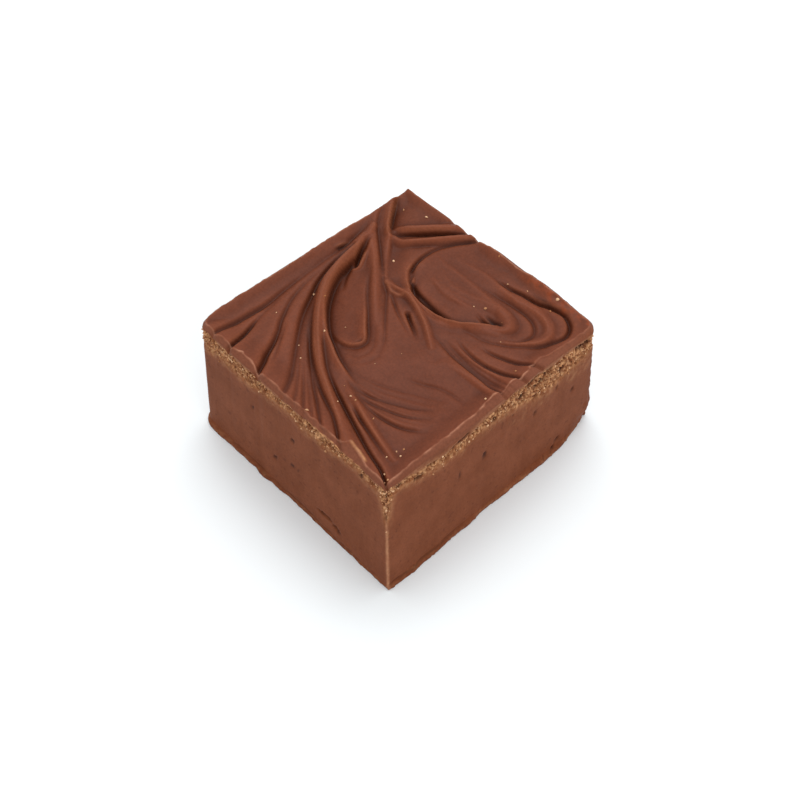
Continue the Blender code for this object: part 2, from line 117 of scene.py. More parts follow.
def bank(top, points, drop, wall, low, high):
    """A steep bank with the lower ground on the left of the stroke.

    Both sides ease back to level. A fold at the foot and a lip along the top each take a share of the drop.
    """
    heights, places = top
    near, _, distance, force = follow(places, points, drop, wall + max(low, high))
    side = np.sin(np.clip(distance / wall, -1, 1) * np.pi / 2)
    reach = np.where(distance > 0, low, high)
    ease = np.clip(1 - np.maximum(np.abs(distance) - wall, 0) / reach, 0, 1) ** 2
    fold = 0.16 * np.clip(1 - np.abs(distance - wall) / 0.45, 0, 1)
    lip = 0.1 * np.clip(1 - np.abs(distance + wall) / 0.4, 0, 1)
    heights[near] -= force * (side * ease / 2 + fold - lip)


def hollow(top, centre, size, turn, depth):
    """A soft oval hollow; a negative depth makes a swelling."""
    heights, places = top
    angle = np.radians(turn)
    x, y = (places - centre).T
    u = (x * np.cos(angle) + y * np.sin(angle)) / size[0]
    v = (y * np.cos(angle) - x * np.sin(angle)) / size[1]
    heights -= depth * np.clip(1 - u**2 - v**2, 0, 1) ** 2


def between(first, second, share):
    """A curve lying part of the way from one guide to the other; both guides have as many points."""
    return (1 - share) * np.array(first, float) + share * np.array(second, float)


def sweep_fan(top):
    """The widest sweep: ribbons that leave the back corner together and spread along the -Y edge."""
    margin = [(-25.3, 16), (-24.7, 7), (-24.3, -2), (-23.9, -9.8), (-23.4, -15.8), (-23.7, -20.6),
        (-24.1, -25.9), (-24.3, -31)]
    crease(top, margin, (0.1, 0.6, 0.3, 0.35, 0.7, 1.2, 1.2, 1.1), (0.8, 1.3, 1.7, 1.5))
    crease(top, [(-23, -11), (-22.3, -15.5), (-21.7, -19)], (0, 0.35, 0.4), 1.3)
    second = [(-21.6, -19.4), (-20.9, -21.9), (-20.2, -24.4), (-19.6, -26.9), (-18.9, -31)]
    crease(top, second, (0.3, 1.4, 1.8, 2, 2), (0.7, 1.2, 1.6))
    third = [(-23.4, 2), (-22.2, -6), (-20.8, -11), (-18, -16.2), (-16.1, -18.7), (-14.4, -21.5),
        (-13, -24.5), (-11.5, -26.7)]
    crease(top, third + [(-9.2, -31)], (0, 0.3, 0.5, 0.8, 1.4, 1.9, 2.1), (0.8, 1.4, 2))
    crease(top, [(-17, -15.5), (-15.1, -18.4), (-12.6, -22), (-10, -26)], (0, 0.6, 0.6, 0), 0.7)
    fourth = [(-23.2, 9), (-22.6, 4), (-21.3, -1.8), (-19, -6.9), (-15.6, -12.7), (-10.5, -18.7), (-6.6, -23),
        (-3.5, -27), (-1.6, -31)]
    fifth = [(-22.3, 7), (-21.5, 2.4), (-19.4, -3.9), (-16.8, -8.1), (-13.2, -12.4), (-8, -17.3),
        (-2.4, -21.5), (3.5, -25.4), (11, -30.4)]
    crease(top, fourth, (1, 1.5, 1.4, 1.2, 1, 0.8, 0.7), (0.9, 1.9, 2))
    crease(top, fifth, (0, 0.2, 0.7, 0.9, 1, 0.9, 0.7), (0.6, 1, 1.1))
    for share, depth in ((0.3, 0.5), (0.55, 0.6), (0.78, 0.5)):
        crease(top, between(fourth, fifth, share), (0, 0, 0.5 * depth, depth, depth), 1)


def sweep_bundle(top):
    """The thick twisted rib beside the fan, which runs on to the front corner between two deep valleys."""
    crest = [(-24.6, 16), (-22.3, 8), (-20.9, 2.4), (-19.1, -2.9), (-15.6, -8), (-10.6, -13), (-3.8, -18),
        (4.1, -22.2), (10.5, -25.2), (16, -27.6)]
    ridge(top, crest, (0.6, 1.5, 1.7, 1.6, 1.3, 1, 0.4), 1.6, 2)
    strand = [(-20.4, 1.2), (-18.6, -4), (-15, -9), (-10, -13.9), (-4, -18.4)]
    crease(top, strand, (0, 0.5, 0.6, 0.4, 0), 0.5)
    lower = [(-18.6, -5.2), (-14.4, -10.6), (-8.4, -16.5), (-3.4, -20), (1.2, -22.5), (5.8, -24.3),
        (9.7, -26.1), (17, -31)]
    upper = [(-9, -13.1), (-3.5, -17), (-0.5, -18.8), (3.3, -20.4), (11.3, -23.2), (19, -25.9), (24, -27.3),
        (28.8, -29.8)]
    crease(top, lower, (0, 0.6, 1, 1.2, 1.2, 0.9), 0.8)
    crease(top, upper, (0, 1, 1.6, 1.7, 1.6, 2.2), (0.6, 0.9, 0.9, 0.8))
    crease(top, [(-6.4, -16.3), (-1.7, -18.9), (3.1, -21.1), (7.5, -23.1), (11.1, -24.6)],
        (0, 0.6, 0.6, 0), 0.6)
    crease(top, [(8.6, -20.5), (12.1, -21.8), (16.1, -22.8), (20, -23.8), (22.7, -24.6)],
        (0.1, 1.2, 1, 0.6, 0), 0.7)
    ridge(top, [(4, -18.4), (9.8, -20.1), (14, -21.5), (18.3, -22.7), (24, -23.9)],
        (0, 0.7, 0.7, 0.4), 1.3, 0.9)


def press_leaf(top):
    """The leaf-shaped hollow pressed beside the bundle, with its curled end and the rings round it."""
    foot = [(-22.8, 12.8), (-20.8, 8), (-19.9, 4.6), (-19, 1), (-17.2, -2.9), (-14.6, -6.5), (-11.8, -9.2),
        (-8.7, -11.5), (-5.4, -13.1), (-1.2, -14.9), (5.5, -16.6)]
    bank(top, foot, (0.2, 0.6, 1.5, 2.3, 2.7, 2.6, 2.4, 1.8, 1, 0), 0.4, 9, 3)
    crease(top, foot[1:], (0, 0.3, 0.5, 0.5, 0.5, 0.5, 0.4, 0.3, 0), 0.9)
    crease(top, [(-19.4, 4.7), (-18, 1.6), (-15.4, -1.4)], (1, 0.8, 0), 0.9)
    crease(top, [(-21.9, 10.6), (-21, 8.9), (-20, 7.2), (-19.1, 5.8), (-18.6, 5)], (0.3, 1.8, 2.6, 2.4, 1.4),
        (0.5, 0.8, 0.9))
    ridge(top, [(-21.2, 12), (-19.6, 9), (-18.5, 6.8), (-17.8, 5.3), (-18.3, 4.3)],
        (0.2, 0.6, 0.7, 0.5), 0.6, 0.6)
    curl = [(-18.9, 9.6), (-15, 5.7), (-11.6, 1.7), (-7.5, -1.9), (-4.4, -4.8), (-2.6, -6.4), (-1.6, -7.8),
        (-1.9, -9.5), (-3.2, -10.8), (-5.4, -11.3), (-8, -11)]
    bank(top, curl, (0.2, 0.25, 0.3, 0.35, 0.5, 1, 1.3, 0.9, 0.6, 0.1), 0.35, 3, 2.4)
    crease(top, [(-2.9, -6.9), (-2.3, -8.1), (-2.9, -9.4)], (0.2, 0.9, 0.2), 0.6)
    first = [(-4.8, -2.4), (-1.2, -5.4), (0.9, -8.4), (0.2, -11.4), (-3.6, -13)]
    second = [(-3.4, -0.6), (1.2, -4.6), (3.6, -8.6), (2.6, -12.2), (-0.4, -14.4)]
    for share, depth in ((0, 0.2), (0.8, 0.12)):
        crease(top, between(first, second, share), (0, 0.6 * depth, depth, depth, 0), 1.1)


def sweep_crown(top):
    """The lips and twin ribs that leave the back corner and turn to the +Y edge."""
    lip = [(-29, 28), (-27.6, 26.4), (-26.6, 24.4), (-25.2, 22.4), (-23.5, 20.2), (-21.8, 18.2),
        (-20.6, 16.9)]
    bank(top, lip, (0, 0.2, 1.5, 2.4, 2.5, 2, 1), 0.35, 5, 2.6)
    ridge(top, [(-21.4, 18), (-18.5, 15), (-15.5, 11.6), (-11.8, 7.6)], (0.8, 0.6, 0.3, 0.4), 0.6, 1.6)
    root = [(-29.4, 22), (-25.2, 17.2), (-22, 13.2), (-17.5, 9.4), (-12, 4.6), (-7, -0.2), (-3, -4.2)]
    ridge(top, root, (0, 0.5, 0.9, 1, 0.9, 0.6, 0), 1.9, 1.6)
    seam = [(-27.1, 21.1), (-25.6, 18.6), (-23.6, 16.3), (-20.1, 13.5), (-16, 10.3), (-12, 7.2), (-8.8, 4.6)]
    crease(top, seam, (0.2, 0.7, 0.9, 0.7, 0.4, 0.2), 0.7)
    rib = [(-20.8, 18.8), (-19, 20), (-17, 21.9), (-14.6, 24.7), (-12.2, 27.4), (-10.4, 29.9)]
    ridge(top, rib, (0.5, 1.2, 1.4, 1.4, 1.1, 0.4), 1.8, 1.6)
    fold = [(-19.6, 17.4), (-18.3, 18.6), (-16.1, 20.8), (-13.7, 23.6), (-11.1, 26.4), (-8.4, 29.4)]
    crease(top, fold, (0.6, 1.6, 1.9, 1.8, 1.4, 0.6), 0.6)
    twin = [(-21, 18), (-18.9, 17), (-16.9, 17.2), (-14.6, 19.3), (-12.2, 22.3), (-10, 25.5), (-6.8, 30)]
    ridge(top, twin, (0.3, 0.8, 1.1, 1.1, 0.9, 0.4), 1, 1.8)
    crease(top, [(-15.8, 16.1), (-13.7, 18.4), (-11.7, 20.8), (-9.9, 23)], (0, 0.5, 0.5, 0.2), 0.9)
    rim = [(-7.7, 10.4), (-9.2, 12.4), (-9.9, 14.3), (-10.4, 17), (-10.1, 20.6), (-8.6, 24.6), (-6.3, 28.3),
        (-4.8, 30.6)]
    crease(top, rim, (0.8, 1.6, 1.3, 0.8, 0.7, 0.9, 1.2, 0.6), (0.8, 1.2))
    ridge(top, [(-7.4, 11.6), (-6.6, 10.3), (-6, 8.9)], (0.6, 1, 0.6), 0.45, 0.45)
    hollow(top, (-15.5, 13.5), (7.5, 4), -52, 0.8)


def turn_loop(top):
    """The loop near the +X +Y corner: a spoon-like floor, ribs that turn back on themselves, a deep rim."""
    crest = [(-10, 13.8), (-8, 11.2), (-6.3, 9.3), (-3.5, 8.2), (1.5, 7.9), (6.5, 8.5),
        (10, 10.9), (14, 14.8)]
    bank(top, crest, (0.4, 1.6, 2.6, 2.9, 2.5, 1.5, 0.8), 0.35, 9, 2.4)
    crease(top, [(-6.2, 10.2), (-3.4, 8.8), (1.5, 8.5), (6, 8.9), (9, 10.6)], (0.5, 0.8, 1.1, 0.8, 0), 1)
    crease(top, [(8.3, 14.3), (9.7, 14), (11.9, 13.9), (13.7, 14.4)], (0, 0.5, 1.9, 1), (0.5, 0.7, 0.8))
    broad = [(3, 17.2), (9, 17.8), (14, 17.8), (16.4, 15.8), (14.8, 12.8), (9.5, 10.2)]
    ridge(top, broad, (0, 0.3, 0.6, 0.7, 0.5, 0.2), 2, 2)
    outer = [(4, 22), (11, 22.8), (18, 23.4), (22.4, 21.8), (23.6, 18.6), (21.4, 14.8), (16.5, 11.8)]
    ridge(top, outer, (0.1, 0.3, 0.7, 0.8, 0.7, 0.4, 0), 1.6, 1.6)
    inner = [(8, 18.2), (12.5, 19.2), (16.6, 18.9), (18.3, 16.8), (17, 14), (12, 11.4)]
    crease(top, inner, (0, 0.1, 0.2, 0.25, 0.2, 0), 0.8)
    main = [(3, 20.2), (8, 20.5), (11.4, 20.9), (15.3, 21.2), (18.4, 20.8), (20.4, 19.5), (21.3, 17.6),
        (20.4, 14.9), (17, 12.2)]
    crease(top, main, (0, 0.2, 0.5, 0.7, 0.9, 0.8, 0.6, 0.4, 0), 0.9)
    crease(top, [(10, 22.9), (15, 23.4), (19.6, 23.6), (22.5, 21.9), (23.2, 19), (21.4, 15.6)],
        (0, 0.25, 0.35, 0.3, 0), 0.7)
    rim = [(5.5, 23.8), (9.2, 24.3), (11.8, 24.9), (15.7, 25.5), (18.8, 26.6), (21.8, 27.1), (24.7, 25.6),
        (26.1, 22.8), (25.4, 19.6), (23.8, 16.4), (19.6, 12.4), (15.2, 9.9), (9.8, 8.9)]
    depths = (0.1, 1.4, 1.6, 1.8, 1.7, 1.3, 0.9, 0.7, 0.5, 0.3, 0.2)
    crease(top, rim, depths, (1, 1.2, 1.2, 0.8, 0.7))
    for shift in (1.2, 2.4, 3.8):
        line = [(-7.5, 15 + shift), (0, 12.2 + shift), (8, 13.8 + shift), (13, 15.4 + shift)]
        ridge(top, line, (0, 0.1, 0.12, 0), 0.5, 0.8)
    hollow(top, (13, 31), (13, 5), 0, -1.5)
    hollow(top, (0.5, 31), (8, 5), 0, -1.5)


def sweep_junction(top):
    """The crown of the top, where three sweeps meet, and the ribs that run from it to the +X edge."""
    meeting = [(-11.6, 7), (-8.6, 6.5), (-6, 6.7), (-3.2, 6.6), (0.6, 5.4), (4, 3.9), (9.2, 0.6)]
    ridge(top, meeting, (0.3, 0.9, 1, 0.9, 0.7, 0.3), 1.3, 0.8)
    crease(top, [(-0.8, 3.6), (1.4, 2.4), (3.5, 1.3), (5.6, 0)], (2.2, 1.5, 0.7, 0), (0.75, 1))
    crease(top, [(-7.6, 5.2), (-4.7, 3.5), (-2.2, 2.2), (0.6, 1.1), (4.7, -0.4)], (0.2, 0.9, 0.6, 0.4, 0),
        0.6)
    crease(top, [(-10.4, 6.4), (-7.6, 3.9), (-4.9, 1.1), (-2.2, -1.6), (0.8, -4.6), (2.6, -8)],
        (0.3, 0.7, 0.7, 0.6, 0.3, 0), 0.55)
    ribs = (
        ([(28.3, 13), (25.8, 11.8), (23.5, 10.3), (19.2, 8.6), (15.6, 7.9)], 1.1),
        ([(28.3, 8.4), (26.4, 7.5), (22.8, 6.1), (18.7, 5.2), (14.5, 5.3), (10.6, 6.2)], 1.2),
        ([(28.3, 2.6), (25, 2.1), (21.9, 2.3), (17.6, 2.4), (13, 2.5), (6.5, 3.6)], 1),
    )
    for points, depth in ribs:
        crease(top, points, (1.2 * depth, depth, depth, 0.7 * depth, 0), (1.1, 0.9, 0.8))
    crease(top, [(28.3, 3.6), (20, 3.2), (14, 3.5), (8, 4.2)], (0.8, 0.9, 0.8, 0), 2.2)
    crease(top, [(28.3, 4.8), (23.9, 4.5), (19.1, 4.1), (13.9, 4.1)], (0.5, 0.6, 0.5, 0), 0.7)
    ridge(top, [(27, 0.9), (21, 0.9), (16, 0.6), (12.5, -0.6)], (0.5, 0.5, 0.3, 0), 1.1, 2)


def comb_arcs(top):
    """Shallow arcs that the blade combed over the broad floor by the front corner."""
    near = [(22.8, -15.2), (19.8, -17.4), (14.2, -18.8), (7.5, -18.4), (2, -16.6)]
    far = [(22, -6), (15, -9.4), (9, -12.8), (4, -14.6), (-1, -15.4)]
    arcs = ((0, 0.45), (0.2, 0.4), (0.32, 0.2), (0.45, 0.25), (0.66, 0.25), (0.82, 0.15), (1, 0.25))
    for share, depth in arcs:
        crease(top, between(near, far, share), (0, 0.7 * depth, depth, 0.8 * depth, 0), 0.8)
    crease(top, [(25, -4.6), (21.5, -4.5), (17.8, -5), (13.7, -7), (10.4, -8.6)], (0, 0.3, 0.35, 0.3, 0), 0.7)
    hollow(top, (14, -10), (15, 8), 35, 0.9)


def swirl(places):
    """Height of the top over the rim plane, in millimetres, at places given as (x, y) rows."""
    heights = np.zeros(len(places))
    for stroke in (sweep_fan, sweep_bundle, press_leaf, sweep_crown, turn_loop, sweep_junction, comb_arcs):
        stroke((heights, places))
    return heights


def noise(places, size, seed):
    """Smooth random field from -1 to 1: random values on a lattice, size millimetres apart, eased between."""
    lattice = np.random.default_rng(seed).uniform(-1, 1, (40, 40, 40))
    scaled = places / size + 80
    cell = np.floor(scaled).astype(int)
    part = scaled - cell
    part = part * part * (3 - 2 * part)
    field = np.zeros(len(places))
    for corner in np.ndindex(2, 2, 2):
        weight = np.where(corner, part, 1 - part).prod(1)
        field += weight * lattice[tuple(((cell + corner) % 40).T)]
    return field


def grains(places, size, seed):
    """Grains packed round random centres, one to a box of the given size.

    Gives the distance to the nearest centre in boxes, how much further the second one is, and that
    nearest grain's own random share.
    """
    lattice = np.random.default_rng(seed).uniform(0, 1, (24, 24, 24, 4))
    scaled = places / size + 80
    cell = np.floor(scaled).astype(int)
    nearest, second, share = (np.full(len(places), value) for value in (9.0, 9.0, 0.0))
    for corner in np.ndindex(3, 3, 3):
        there = cell + corner - 1
        centre = lattice[tuple((there % 24).T)]
        gap = np.linalg.norm(there + centre[:, :3] - scaled, axis=1)
        second = np.where(gap < nearest, nearest, np.minimum(second, gap))
        share = np.where(gap < nearest, centre[:, 3], share)
        nearest = np.minimum(nearest, gap)
    return nearest, second - nearest, share


def step(value, low, high):
    """Rises smoothly from 0 at low to 1 at high."""
    part = np.clip((value - low) / (high - low), 0, 1)
    return part * part * (3 - 2 * part)


def outline(square, level):
    """Place in the block's plan at a height share: the square is laid over four corners, each rounded off."""
    u, v = np.array(square, float).T
    corners = BASE_CORNERS + (RIM_CORNERS - BASE_CORNERS) * np.asarray(level, float)[:, None, None]
    for radius, (toward_x, toward_y) in zip(CORNER_RADII, ((-1, -1), (1, -1), (1, 1), (-1, 1))):
        across_x = radius / (RIM_CORNERS[1, 0] - RIM_CORNERS[0, 0]) * 2
        across_y = radius / (RIM_CORNERS[2, 1] - RIM_CORNERS[1, 1]) * 2
        p = 1 - (1 - toward_x * u) / across_x
        q = 1 - (1 - toward_y * v) / across_y
        inside = (p > 0) & (q > 0)
        pull = np.where(inside, np.maximum(p, q) / np.maximum(np.hypot(p, q), 1e-9), 1)
        u = np.where(inside, toward_x * (1 - (1 - p * pull) * across_x), u)
        v = np.where(inside, toward_y * (1 - (1 - q * pull) * across_y), v)
    weights = np.stack([(1 - u) * (1 - v), (1 + u) * (1 - v), (1 + u) * (1 + v), (1 - u) * (1 + v)], 1) / 4
    return (weights[..., None] * corners).sum(1)


# What the knife left along each side, in the order -Y, +X, +Y, -X, as places along the side against values:
# how far the foot stands out, the strength of the highlight painted on the lip, the width of the bevel that
# was pressed down, and the heights at which the crumb band starts and ends.
SIDES = (
    dict(
        foot=((-29, -26.6, -24, -20, -17, -12, -9.5, -7, -4.7, -2, 0, 27, 29.5),
              (0.4, 0.75, 0.75, 0.7, 0.6, 0.45, 0.85, 0.4, 0.5, 0.1, 0.15, 0.1, 0.3)),
        lip_highlight=((-29, -20, -18.5, -10, -8, 14, 16, 28), (0.7, 0.7, 1.3, 1.3, 0.7, 0.6, 0.8, 0.8)),
        bevel=((-29, -24.6, -23.8, -22, -19.4, -18.8, -16, -12.8, -9.9, -8, 0, 10, 14.3, 15.5, 18.3, 20.8,
                22.5, 28),
               (0.9, 0.9, 0.4, 1.1, 1, 0.45, 1.5, 1.3, 0.45, 0.9, 0.9, 0.9, 1.2, 2.2, 2, 1.2, 0.8, 0.7)),
        starts=((-29, -25.7, -21.9, -18, -16.4, -12.7, -9.7, -6.9, -4.1, -0.4, 3.5, 6.5, 9.4, 13.7, 16.6, 20,
                 25, 28),
                (31.6, 32.2, 31.5, 31.9, 31.3, 31.7, 32.1, 31.2, 31.3, 31.9, 31.7, 32.5, 33, 33, 32.4, 32.8,
                 31.5, 31.3)),
        ends=((-29, -23.4, -20, -16.5, -12.6, -6.4, 0.4, 3.4, 7, 10, 14.1, 16.9, 20.3, 24.3, 28),
              (26.3, 26.9, 27.6, 27.2, 26.8, 28.9, 29.5, 28.5, 29.1, 28.5, 29.9, 30.5, 30.8, 30, 29.4)),
    ),
    dict(
        foot=((-31, -28, -25.5, -22.9, -20.3, -17.7, -12.5, -7.3, -4.7, -2, 0.5, 5.6, 8.2, 16, 18.6, 21.2,
               23.8, 26.4, 29, 31),
              (0.35, 0.5, 0.45, 0.75, 0.45, 0.7, 0.5, 0.6, 0.15, 0.25, 0.55, 0.5, 0.7, 0.85, 0.65, 0.35, -0.3,
               -0.95, -1.35, -0.8)),
        lip_highlight=((-30, -4, 0, 12, 16, 28), (1, 1, 1.3, 1.3, 0.5, 0.5)),
        bevel=((-30, -25, -5, -3, 0, 3, 6, 9, 12, 15, 20, 28),
               (0.7, 0.9, 1, 1.3, 1.7, 1.3, 1.8, 1.4, 2.1, 1.8, 1.2, 0.9)),
        starts=((-30, -24.7, -20.8, -18.2, -15.5, -12.8, -10, -1.3, 5.6, 10.6, 14.5, 20, 24, 28),
                (31.5, 31.7, 30.5, 30.2, 29.5, 29.2, 29.2, 31, 31.6, 31.7, 31.2, 31, 31.2, 30.6)),
        ends=((-30, -26.1, -22, -18.9, -15.6, -12.9, -9.6, -7.3, -0.7, 4.2, 7.2, 10.3, 16.4, 19.5, 23.3, 29),
              (29.6, 30.2, 28.5, 27.9, 27.1, 27.1, 26.6, 27.9, 27.7, 26.6, 26.2, 24.5, 23.8, 25, 24.5, 26.5)),
    ),
    dict(
        foot=((-29, -18, -6, 3, 12, 20, 24, 29), (0.2, 0.5, 0.2, 0.6, 0.3, 0.3, -0.2, -0.8)),
        lip_highlight=((-29, -10, -6, 4, 10, 28), (0.7, 0.7, 1.1, 1.1, 0.6, 0.6)),
        bevel=((-29, -20, -8, 4, 15, 28), (0.5, 0.8, 0.6, 0.9, 0.7, 0.9)),
        starts=((-29, -20, -13, -5, 3, 9, 16, 23, 29),
                (31.6, 30.9, 31.5, 31.1, 31.9, 30.6, 31.4, 30.8, 31.5)),
        ends=((-29, -22, -15, -9, -2, 5, 12, 18, 24, 29),
              (29.2, 28.2, 29.9, 28.6, 30.2, 28.9, 26.9, 28.4, 27.1, 28.2)),
    ),
    dict(
        foot=((-30, -20, -8, 4, 14, 30), (0.5, 0.3, 0.6, 0.3, 0.5, 0.3)),
        lip_highlight=((-30, 2, 5, 14, 17, 30), (0.7, 0.7, 1.1, 1.1, 0.6, 0.6)),
        bevel=((-30, -18, -5, 8, 20, 30), (0.8, 0.6, 0.8, 0.6, 0.8, 0.5)),
        starts=((-30, -22, -14, -6, 1, 9, 17, 24, 30), (31.6, 31.9, 30.9, 31.5, 31, 31.8, 30.9, 31.4, 31.7)),
        ends=((-30, -24, -17, -10, -3, 4, 11, 19, 25, 30),
              (27.2, 28.9, 27.7, 29.6, 28.5, 27.4, 29.4, 28.4, 30.1, 29)),
    ),
)
BEVEL_DROP = 0.95


def along_sides(name, side, s):
    """Reads one of the knife's profiles at the places s, each on its own side."""
    return np.choose(side, [np.interp(s, *profile[name]) for profile in SIDES])


def edge_rise(places):
    """The slab stands higher along its cut edges, where the knife pulled the skin up as it came out.

    It is the greatest of the rises drawn for the -Y, +X, +Y and -X sides, each easing away inwards.
    """
    x, y = places.T
    east = np.interp(y, (-30, 30), RIM_CORNERS[[1, 2], 0])
    west = np.interp(y, (-30, 30), RIM_CORNERS[[0, 3], 0])
    east_rise = np.interp(y, (-30, -20, -4, 2, 14, 22, 29), (0.6, 0.8, 0.8, 1.2, 1.2, 0.7, 0))
    west_rise = np.interp(y, (-29, -24, 10, 20, 29), (0, 1.1, 1.1, 0.7, 0.5))
    return np.max([
        (1 - step(y + 29.7, 0, 6.5)) * step(x, -29, -25),
        east_rise * (1 - step(east - x, 0, 5)),
        (1 - step(30 - y, 0, 4)) * (1 - step(x, -15, -12)),
        west_rise * (1 - step(x - west, 0, 4)),
    ], axis=0)


def grid_line(cells, fine_cells, fine_share):
    """Grid lines from -1 to 1, with fine_cells at either end that are fine_share as wide as the others."""
    sizes = np.ones(cells)
    sizes[:fine_cells] = sizes[-fine_cells:] = fine_share
    lines = np.concatenate([[0], np.cumsum(sizes)])
    return 2 * lines / lines[-1] - 1


def smoothed(field):
    """Mean of each grid point with its eight neighbours, weighted 4 to 2 to 1; the ends repeat outwards."""
    for axis in (0, 1):
        padded = np.pad(field, [(1, 1) if a == axis else (0, 0) for a in (0, 1)], "edge")
        padded = np.moveaxis(padded, axis, 0)
        field = np.moveaxis(padded[:-2] + 2 * padded[1:-1] + padded[2:], 0, axis) / 4
    return field


def blurred(field, reach):
    """Mean over a square of cells reaching that far each way, from running sums; the ends repeat outwards."""
    width = 2 * reach + 1
    for axis in (0, 1):
        padded = np.pad(field, [(reach + 1, reach) if a == axis else (0, 0) for a in (0, 1)], "edge")
        sums = np.moveaxis(np.cumsum(padded, axis), axis, 0)
        field = np.moveaxis(sums[width:] - sums[:-width], 0, axis) / width
    return field


# The clearest of the fine arcs that the spatula combed across the front of the block.
FRONT_ARCS = (
    [(6.7, -18.2), (9.7, -17.8), (11.9, -17.2), (14.4, -16.4), (17.1, -15.4), (19.4, -13.9), (22.4, -11.3)],
    [(11.1, -18.7), (13.9, -18.7), (16.9, -18.3), (19.3, -17.5), (21.7, -16.1), (23.8, -14.4)],
    [(4.4, -17.4), (7.7, -16.9), (10.3, -16.1), (14.6, -13.9), (17.6, -12.2), (20.7, -9.7)],
)
# More strokes that are both shape and painted light: the fold behind the loop's crest and a slit, which get
# painted shade, and two thin ribs, which get painted highlights.
LOOP_FOLD = [(-6.4, 10.3), (-4.9, 9.9), (-3.3, 9.6), (-1.6, 9.4), (0.6, 9.2), (2.5, 9.1),
    (4.5, 9.2), (6.6, 9.5)]
LEAF_RIB = [(-10.4, 6.4), (-7.7, 5.5), (-5.2, 6.1), (-4.4, 7.7)]
CROWN_RIB = [(-26.9, 25.4), (-24.9, 21.9), (-22.8, 19.3), (-20.6, 17.2)]
FAN_SLIT = [(-24.9, 6), (-24.5, 8.4)]


def fine_marks(top):
    """The finest traces of the spatula: thin folds, faint ribs in the loop's basin and a slit by the fan."""
    ridge(top, [(-5, 8.9), (-3, 7.9), (0.3, 7.4), (4.2, 7.4), (6.8, 8)], (-0.3, -0.9, -1.1, -1, -0.3), 1.4,
        1.2)
    crease(top, LOOP_FOLD, (0.8, 0.8, 0.7, 0.5, 0), 0.9)
    ridge(top, [(-6.6, 10.6), (-5.4, 8.6)], (0.5, 0.3), 0.35, 0.5)
    ridge(top, LEAF_RIB, (0.5, 0.4, 0.4, 0), 0.5, 0.9)
    crease(top, [(10.5, 15.2), (12.4, 15), (14.5, 15.2)], (0, 0.9, 0.9), 0.7)
    ridge(top, [(-9.6, 20), (-7.2, 19.4), (0.7, 19.3), (9.8, 19), (14.4, 19), (17.2, 17.5)],
        (0, 0.25, 0.25, 0.2, 0), 0.5, 1.3)
    ridge(top, [(-6.3, 23), (-3.6, 22.4), (3.9, 23.4), (13.7, 22.2), (17.9, 21)], (0, 0.2, 0.25, 0.2, 0), 0.5,
        1.2)
    ridge(top, [(-8.6, 16.3), (-4.9, 14.7), (1.2, 14), (9.2, 14.3)], (0, 0.14, 0.14, 0), 0.5, 1.2)
    for arc in FRONT_ARCS:
        crease(top, arc, (0, 0.45, 0.5, 0.4, 0), (0.7, 1.3))
    crease(top, FAN_SLIT, (0.9, 0.6), 0.45)
    ridge(top, [(-25.5, 6.2), (-25.1, 8.3)], (0.3, 0.2), 0.4, 0.5)
    ridge(top, CROWN_RIB, (0, 0.35, 0.35, 0), 0.5, 0.4)


# The top is a grid of about a quarter of a millimetre, finer at the rim.
across = grid_line(236, 13, 0.6)
back = grid_line(248, 13, 0.6)
top_square = np.stack(np.meshgrid(across, back), -1).reshape(-1, 2)
top_xy = outline(top_square, np.ones(len(top_square)))
flat = np.column_stack([top_xy, np.zeros(len(top_xy))])

# Distance in from each cut edge, and the bevel that the knife's pressure left there, uneven in width.
HALF_WIDTH, HALF_DEPTH = 28.3, 30
u, v = top_square.T
edge_gaps = np.stack([(1 + v) * HALF_DEPTH, (1 - u) * HALF_WIDTH, (1 - v) * HALF_DEPTH, (1 + u) * HALF_WIDTH])
top_gap = edge_gaps.min(0)
top_side = edge_gaps.argmin(0)
top_s = np.where(top_side % 2 == 0, top_xy[:, 0], top_xy[:, 1])
bevels = np.stack([np.interp(top_xy[:, side % 2], *SIDES[side]["bevel"]) for side in range(4)])
bevels *= 1 + 0.16 * noise(flat, 0.9, 15) + 0.14 * noise(flat, 2.4, 16)
bevel_share = np.clip(1 - edge_gaps / bevels, 0, 1).max(0)

drawn_top = swirl(top_xy)
fine_marks((drawn_top, top_xy))
top_z = RIM_HEIGHT + smoothed(drawn_top.reshape(len(back), len(across))).ravel() + edge_rise(top_xy)
top_z -= BEVEL_DROP * bevel_share

# The lip is the torn edge of the skin, a raised line just inside the bevel. A pale highlight is painted along
# it in places.
LIP_WIDTH = 0.16
lip = np.exp(-((np.min(edge_gaps - bevels, 0) / LIP_WIDTH) ** 2)) * (top_gap < 4)
top_z += 0.1 * lip + 0.05 * noise(flat, 3, 1) + 0.03 * noise(flat, 1.1, 2) + 0.012 * noise(flat, 0.55, 17)
lip *= np.clip(0.75 + 0.6 * noise(flat, 1.5, 14), 0.2, 1) * along_sides("lip_highlight", top_side, top_s)

# A flake of skin stands up by the front corner, and the skin by the +X +Y corner is rough.
flake_way = np.abs(top_xy[:, 1] - np.interp(top_xy[:, 0], (15.5, 18.2, 20.8), (-27.1, -27.5, -28.2)))
flake = np.clip(1 - flake_way / 0.5, 0, 1) * step(top_xy[:, 0], 15, 15.8)
flake = flake * (1 - step(top_xy[:, 0], 20.2, 21.2)) * np.clip(0.7 + 0.7 * noise(flat, 0.8, 19), 0, 1)
top_z += 0.35 * flake
near_corner = step(3.0 - edge_gaps[2], 0, 2) * step(top_xy[:, 0], 6, 12)
top_z += near_corner * (0.12 * noise(flat, 0.9, 35) + 0.1 * noise(flat, 2, 36))
